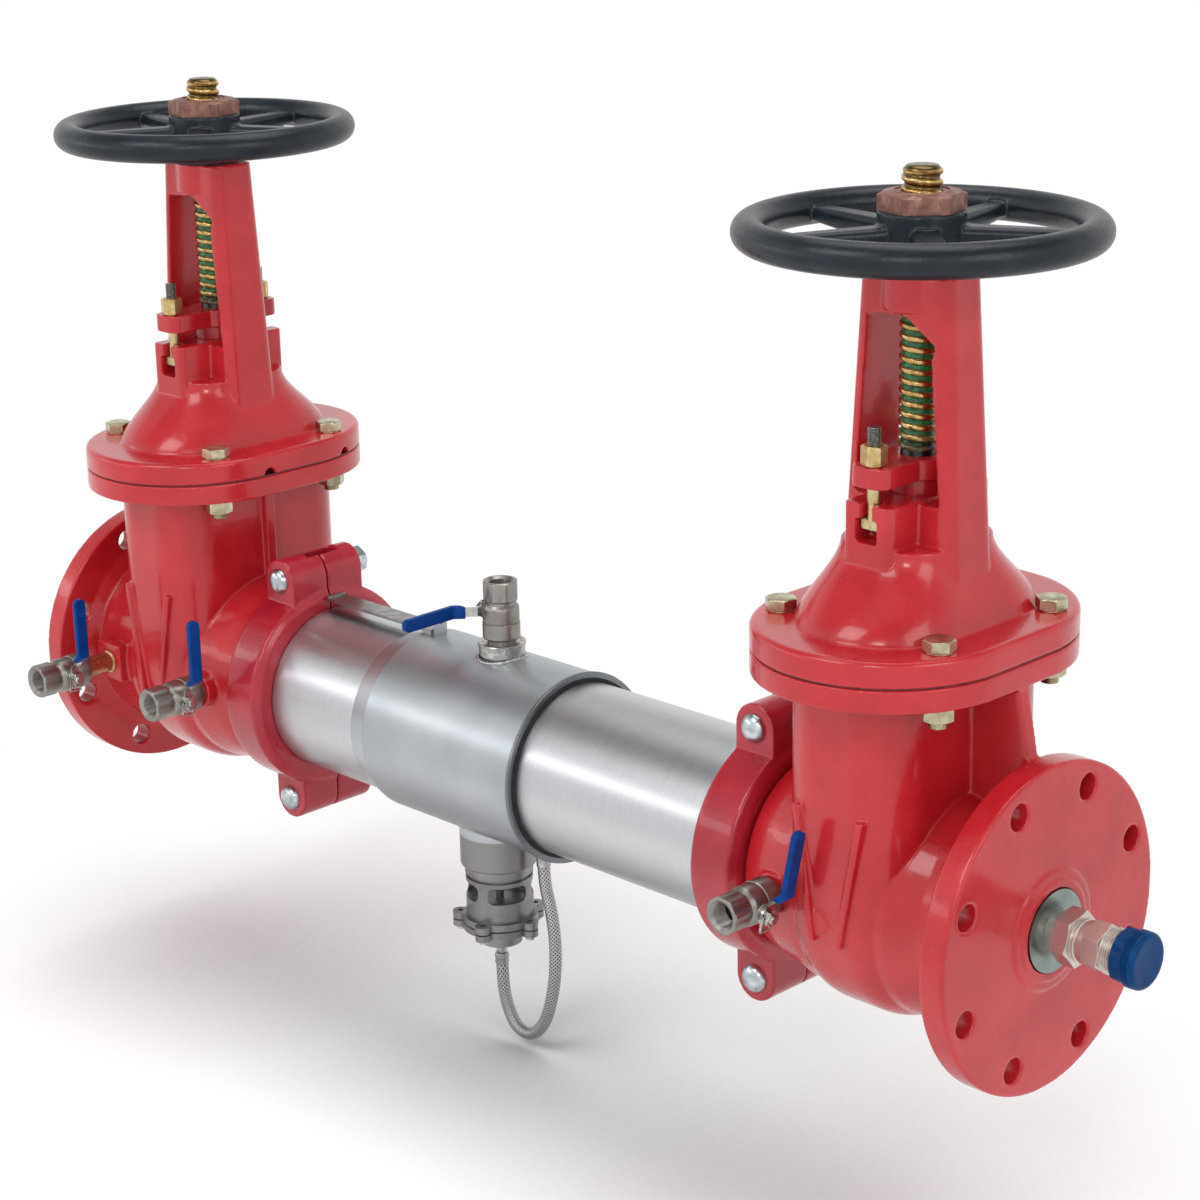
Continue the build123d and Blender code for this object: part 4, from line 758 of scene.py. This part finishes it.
hose_ends = piece("sensing_hose_ferrules", ends, crimp_steel, "pipeline", ["hose_fittings"])
line = bpy.data.curves.new("sensing_hose_braid", "CURVE")
line.dimensions = "3D"
spline = line.splines.new("NURBS")
spline.points.add(len(hose_points) - 1)
for point, at_point in zip(spline.points, hose_points):
    point.co = (*at_point, 1.0)
spline.order_u = 3
spline.use_endpoint_u = True
line.bevel_depth = 0.00625
line.bevel_resolution = 8
line.resolution_u = 16
line.materials.append(braid)
hose = placed("sensing_hose_braid", line)
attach(hose, "pipeline")
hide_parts("sensing_hose")

# Test cocks: quarter-turn ball valves in two-piece investment-cast stainless, one on a short brass nipple.
# Each has a barrel with a joint line, an eight-sided end with a countersunk thread, and a gland nut at its side.
cock_steel = plated("satin_cast_stainless", "86827D", "918D88", "9C9892", 0.37, 20.0, grain_mm=0.012)
barrel = [(0.0, 0.0066), (0.0, 0.0138), (0.0040, 0.0138), (0.0042, 0.0166), (0.0054, 0.0178), (0.0062, 0.0183),
          (0.0196, 0.0183), (0.0204, 0.0180), (0.0209, 0.0173), (0.0215, 0.0173), (0.0220, 0.0178), (0.0345, 0.0178),
          (0.0368, 0.0170), (0.0384, 0.0157), (0.0392, 0.0152), (0.0425, 0.0152), (0.0425, 0.0066)]
inside = [(0.0600 - 0.00045 * k, 0.0106 if k % 2 else 0.0112) for k in range(34)]
mouth_flats = 0.0326
mouth = [(0.0418, 0.0150), (0.0430, 0.0160), (0.0436, 0.0174), (0.0606, 0.0174), (0.0614, 0.0166),
         (0.0620, 0.0156), (0.0620, 0.0136), (0.0612, 0.0126)] + inside
stem_boss = [(0.0140, 0.0), (0.0140, 0.0092), (0.0176, 0.0088), (0.0182, 0.0080), (0.0197, 0.0080),
             (0.0197, 0.0)]
lever_turn = math.radians(12)
cock_frames = [((first_cock_x, -0.142, 0), (1, 0, 0), (0, -1, 0)), ((0.2165, -0.108, 0), (1, 0, 0), (0, -1, 0)),
               ((top_cock_x, 0, 0.1045), (-1, 0, 0), (0, 0, 1)),
               ((1.0015, -0.101, 0), (math.cos(lever_turn), 0, -math.sin(lever_turn)), (0, -1, 0))]
bodies, latches = [], []
for place, spindle, outward in cock_frames:
    spindle, outward = Vector(spindle), Vector(outward)
    stand = Matrix((spindle, outward.cross(spindle), outward)).transposed().to_4x4()
    stand.translation = place
    side = lathed(stem_boss, sides=40)
    whole = joined(lathed(barrel, sides=96), lathed(mouth, mouth_flats, 96, corners=8),
                   moved(side, Matrix.Translation((0, 0, 0.028)) @ to_x))
    bodies.append(moved(whole, stand))
    loop = joined(*[block(0.0238, y, z, 0.0022, size_y, size_z) for y, z, size_y, size_z in (
        (-0.0045, 0.0365, 0.0150, 0.0014), (-0.0045, 0.0245, 0.0150, 0.0014),
        (-0.0120, 0.0305, 0.0014, 0.0134), (0.0030, 0.0335, 0.0014, 0.0074))])
    latches.append(moved(loop, stand))
piece("test_cock_castings", joined(*bodies), cock_steel, "pipeline", ["test_cock_bodies"],
      sharp=28)

# Levers: pressed stainless strip, its sheared edges bright, dipped in blue vinyl that rounds every edge of the grip.
lever_steel = plated("pressed_stainless_strip", "A6A6A3", "BDBDBA", "D6D6D3", 0.2, edge_mm=0.8)
for k, loop in enumerate(latches, 1):
    piece(f"test_cock_{k}_latch", loop, lever_steel, f"test_cock_{k}_handle")
blue_vinyl = polymer("dipped_blue_vinyl", "003A84", 14, ((0.3, "00306E"), (0.6, "00387F"), (0.8, "02428C")), 1.5,
                     0.04, Roughness=0.34, Specular_IOR_Level=0.12)
for k in (1, 2, 3, 4):
    dress(f"test_cock_{k}_lever", lever_steel)
    piece(f"test_cock_{k}_vinyl_grip", moulded(f"test_cock_{k}_grip", 0.8, 9), blue_vinyl,
          f"test_cock_{k}_handle", [f"test_cock_{k}_grip"], sharp=0)
nipple_brass = yellow_metal("copper_toned_brass", "9A6A4A", "B98662", "D6A988", 0.3)
dress("test_cock_nipple", nipple_brass)
ring = lathed([(0.1119, 0.0105), (0.1119, 0.0128), (0.1132, 0.0128), (0.1145, 0.0118), (0.1150, 0.0105)], sides=48)
piece("nipple_sealing_ring", moved(ring, Matrix.Translation((first_cock_x, 0, 0)) @ lie_y), nipple_brass,
      "pipeline")

# Outlet fitting: a turned zinc-plated disc in the flange, then a hexagon bushing and a threaded hexagon nipple in
# nickel-washed brass. All three are turned from bar, so their edges are crisp and chamfered.
outlet_x = 1.223
fitting = plated("nickel_washed_brass", "C0B7AF", "CBC2BA", "D5CDC6", 0.38, 16.0, grain_mm=0.006)
zinc_disc, tree, principled, at = finish_named("turned_zinc_plate", "8C9693", Metallic=1.0, Roughness=0.34,
                                               Anisotropic=0.7)
connect(principled, {"Base Color": clouds(tree, at, 20, ((0.3, "848E8B"), (0.7, "99A3A0")), 2.0),
                     "Tangent": add(tree, "ShaderNodeTangent", direction_type="RADIAL", axis="X"),
                     "Normal": relief(tree, mottle(tree, at, 1.0), 0.01)})
dress("plug_disc", zinc_disc)
shank = [(-0.010, 0.0130), (-0.010, 0.0155), (0.0, 0.0155), (0.0, 0.0182), (0.0008, 0.0185), (0.0095, 0.0185),
         (0.0095, 0.0130)]
neck = [(0.0255, 0.0130), (0.0255, 0.0186), (0.0290, 0.0186), (0.0297, 0.0176), (0.0310, 0.0176),
        (0.0316, 0.0184), (0.0369, 0.0184), (0.0372, 0.0130)]
bushing = joined(lathed(shank, sides=64), hexagon(0.043, 0.009, 0.026, 0.0130, turn=12, sides=96),
                 lathed(neck, sides=64))
piece("outlet_hex_bushing", moved(bushing, Matrix.Translation((outlet_x, 0, 0)) @ to_x), fitting, "pipeline",
      ["hex_bushing"], sharp=28)
inner = lathed([(0.027, 0.009), (0.027, 0.0127), (0.038, 0.0127), (0.038, 0.009)], sides=48)
collar = lathed([(0.053, 0.009), (0.053, 0.0186), (0.0565, 0.0186), (0.0565, 0.009)], sides=64)
nipple = joined(inner, hexagon(0.038, 0.037, 0.054, 0.009, turn=25, sides=96), collar,
                threaded(0.0555, 0.0765, 0.0199, 0.0024, 0.0014, fitting, steps=10))
piece("outlet_hex_nipple", moved(nipple, Matrix.Translation((outlet_x, 0, 0)) @ to_x), fitting, "pipeline",
      ["reducing_nipple"], sharp=40)

# Screw cap: injection-moulded blue polypropylene, an eight-sided grip behind a ribbed rim and a domed, dished end.
cap_blue = polymer("moulded_blue_polypropylene", "043F74", 12, ((0.3, "003060"), (0.6, "003A6C"), (0.8, "04467C")),
                   1.2, 0.04, Roughness=0.34, Specular_IOR_Level=0.12)
bore_r, grip_flats = 0.0203, 0.0440
grip_ring = [(0.066, bore_r), (0.066, 0.0216), (0.0668, 0.0232), (0.0775, 0.0238), (0.0785, 0.0238),
             (0.0785, bore_r)]
rim = [(0.0780, 0.0236)]
for k in range(4):
    rim += [(0.0784 + 0.0016 * k, 0.0244), (0.0792 + 0.0016 * k, 0.0244), (0.0794 + 0.0016 * k, 0.0238),
            (0.0798 + 0.0016 * k, 0.0238)]
crown = [(0.0852 + 0.0045 * math.sin(a), 0.0198 + 0.0046 * math.cos(a)) for a in
         (0.0, 0.26, 0.52, 0.78, 1.04, 1.3, 1.57)]
dish = [(0.0892, 0.0150), (0.0887, 0.0080), (0.0886, 0.0), (0.0830, 0.0), (0.0830, bore_r), (0.0780, bore_r)]
cap_form = joined(lathed(grip_ring, grip_flats, 96, turn=10, corners=8), lathed(rim + crown + dish, sides=96))
piece("ribbed_screw_cap", moved(cap_form, Matrix.Translation((outlet_x, 0, 0)) @ to_x), cap_blue, "cap",
      ["test_cap"], sharp=28)

# Floor, backdrop and soft studio light, and a camera where the photograph was taken from.
floor_z, middle_x = -0.322, 0.609
floor_mesh = bpy.data.meshes.new("floor")
floor_mesh.from_pydata([(-30, -30, floor_z), (30, -30, floor_z), (30, 30, floor_z), (-30, 30, floor_z)], [],
                       [(0, 1, 2, 3)])
floor = placed("floor", floor_mesh)
paper, tree, principled, at = finish_named("white_paper_floor", "F8F8F8", Roughness=0.9)
# Painted shadow: ambient occlusion darkens the paper's colour under the object.
painted_shadow_occlusion = add(tree, "ShaderNodeAmbientOcclusion", {"Distance": 0.45}, samples=24).outputs["AO"]
color = add(tree, "ShaderNodeValToRGB", {"Fac": painted_shadow_occlusion}, ((0.3, "8A8A8A"), (0.6, "BCBCBC"), (0.9, "FFFFFF")))
connect(principled, {"Base Color": color})


def sight(tree):
    """What kind of ray arrives, and whether it comes from the eye, a mirror or a glass."""
    seen = add(tree, "ShaderNodeLightPath").outputs
    either = add(tree, "ShaderNodeMath", {0: seen["Is Camera Ray"], 1: seen["Is Glossy Ray"]}, operation="MAXIMUM")
    return seen, add(tree, "ShaderNodeMath", {0: either, 1: seen["Is Transmission Ray"]}, operation="MAXIMUM")


direct = sight(tree)[1]
away = off_axis(tree, add(tree, "ShaderNodeSeparateXYZ", {0: at}).outputs, middle_x)
white = add(tree, "ShaderNodeEmission", {"Color": (1, 1, 1, 1), "Strength": 1.0}).outputs[0]
fade = add(tree, "ShaderNodeMapRange", {"Value": away, "From Min": 0.55, "From Max": 1.15})
amount = add(tree, "ShaderNodeMath", {0: direct, 1: fade}, operation="MULTIPLY")
mixed = add(tree, "ShaderNodeMixShader", {0: amount, 1: principled.outputs[0], 2: white}).outputs[0]
connect(tree.nodes["Material Output"], {"Surface": mixed})
floor_mesh.materials.append(paper)

world = bpy.data.worlds.new("studio")
scene.world = world
world.use_nodes = True
tree = world.node_tree
seen, direct = sight(tree)
toward = add(tree, "ShaderNodeTexCoord").outputs["Generated"]
sky = add(tree, "ShaderNodeSeparateXYZ", {0: toward}).outputs["Z"]
rising, falling = [add(tree, "ShaderNodeMapRange", {"Value": sky, "From Min": low, "From Max": high})
                   for low, high in ((0.42, 0.66), (0.98, 0.86))]
ceiling = add(tree, "ShaderNodeMath", {0: rising, 1: falling}, operation="MULTIPLY")
darker = add(tree, "ShaderNodeMath", {0: ceiling, 1: 0.72}, operation="MULTIPLY")
graded = add(tree, "ShaderNodeMath", {0: 1.0, 1: darker}, operation="SUBTRACT")
missing = add(tree, "ShaderNodeMath", {0: 1.0, 1: graded}, operation="SUBTRACT")
mirrored = add(tree, "ShaderNodeMath", {0: seen["Is Glossy Ray"], 1: missing}, operation="MULTIPLY")
plain = add(tree, "ShaderNodeMapRange",
            {"Value": direct, "From Min": 0.0, "From Max": 1.0, "To Min": 0.68, "To Max": 1.0})
shown = add(tree, "ShaderNodeMath", {0: plain, 1: mirrored}, operation="SUBTRACT")
connect(tree.nodes["Background"], {"Strength": shown, "Color": (1, 1, 1, 1)})


def softbox(name, place, aim, size, watts):
    data = bpy.data.lights.new(name, "AREA")
    data.shape = "RECTANGLE"
    data.size, data.size_y = size
    data.energy = watts
    lamp = placed(name, data)
    lamp.location = place
    lamp.rotation_euler = (Vector(aim) - Vector(place)).to_track_quat("-Z", "Y").to_euler()


softbox("key_box", (0.3, -2.4, 2.6), (0.6, 0, 0.1), (1.6, 1.2), 30)
softbox("top_box", (0.6, 0.6, 3.0), (0.6, 0, 0), (2.4, 1.6), 30)
softbox("side_box", (3.2, -0.4, 1.4), (0.8, 0, 0.1), (1.2, 1.2), 12)
softbox("front_box", (2.5, -2.7, 1.75), (0.8, 0, 0.0), (0.7, 0.5), 14)
softbox("strip_box", (-1.1, -1.75, 0.78), (0.6, 0, 0.0), (2.2, 0.3), 5)

yaw, pitch, roll = math.radians(45.277), math.radians(17.515), math.radians(-1.171)
photo_place = (2.45397, -1.73514, 0.95263)
back = Vector((math.sin(yaw) * math.cos(pitch), -math.cos(yaw) * math.cos(pitch), math.sin(pitch)))
right = (-back).cross(Vector((0, 0, 1))).normalized()
up = right.cross(-back)
tilted_right = right * math.cos(roll) + up * math.sin(roll)
tilted_up = up * math.cos(roll) - right * math.sin(roll)
camera_data = bpy.data.cameras.new("photo_view")
camera_data.sensor_width = 36.0
camera_data.lens = 84.01
camera_data.clip_end = 100.0
camera = placed("photo_view", camera_data)
camera.matrix_world = Matrix((tilted_right, tilted_up, back)).transposed().to_4x4()
camera.matrix_world.translation = photo_place
scene.camera = camera
scene.view_settings.view_transform = "Standard"
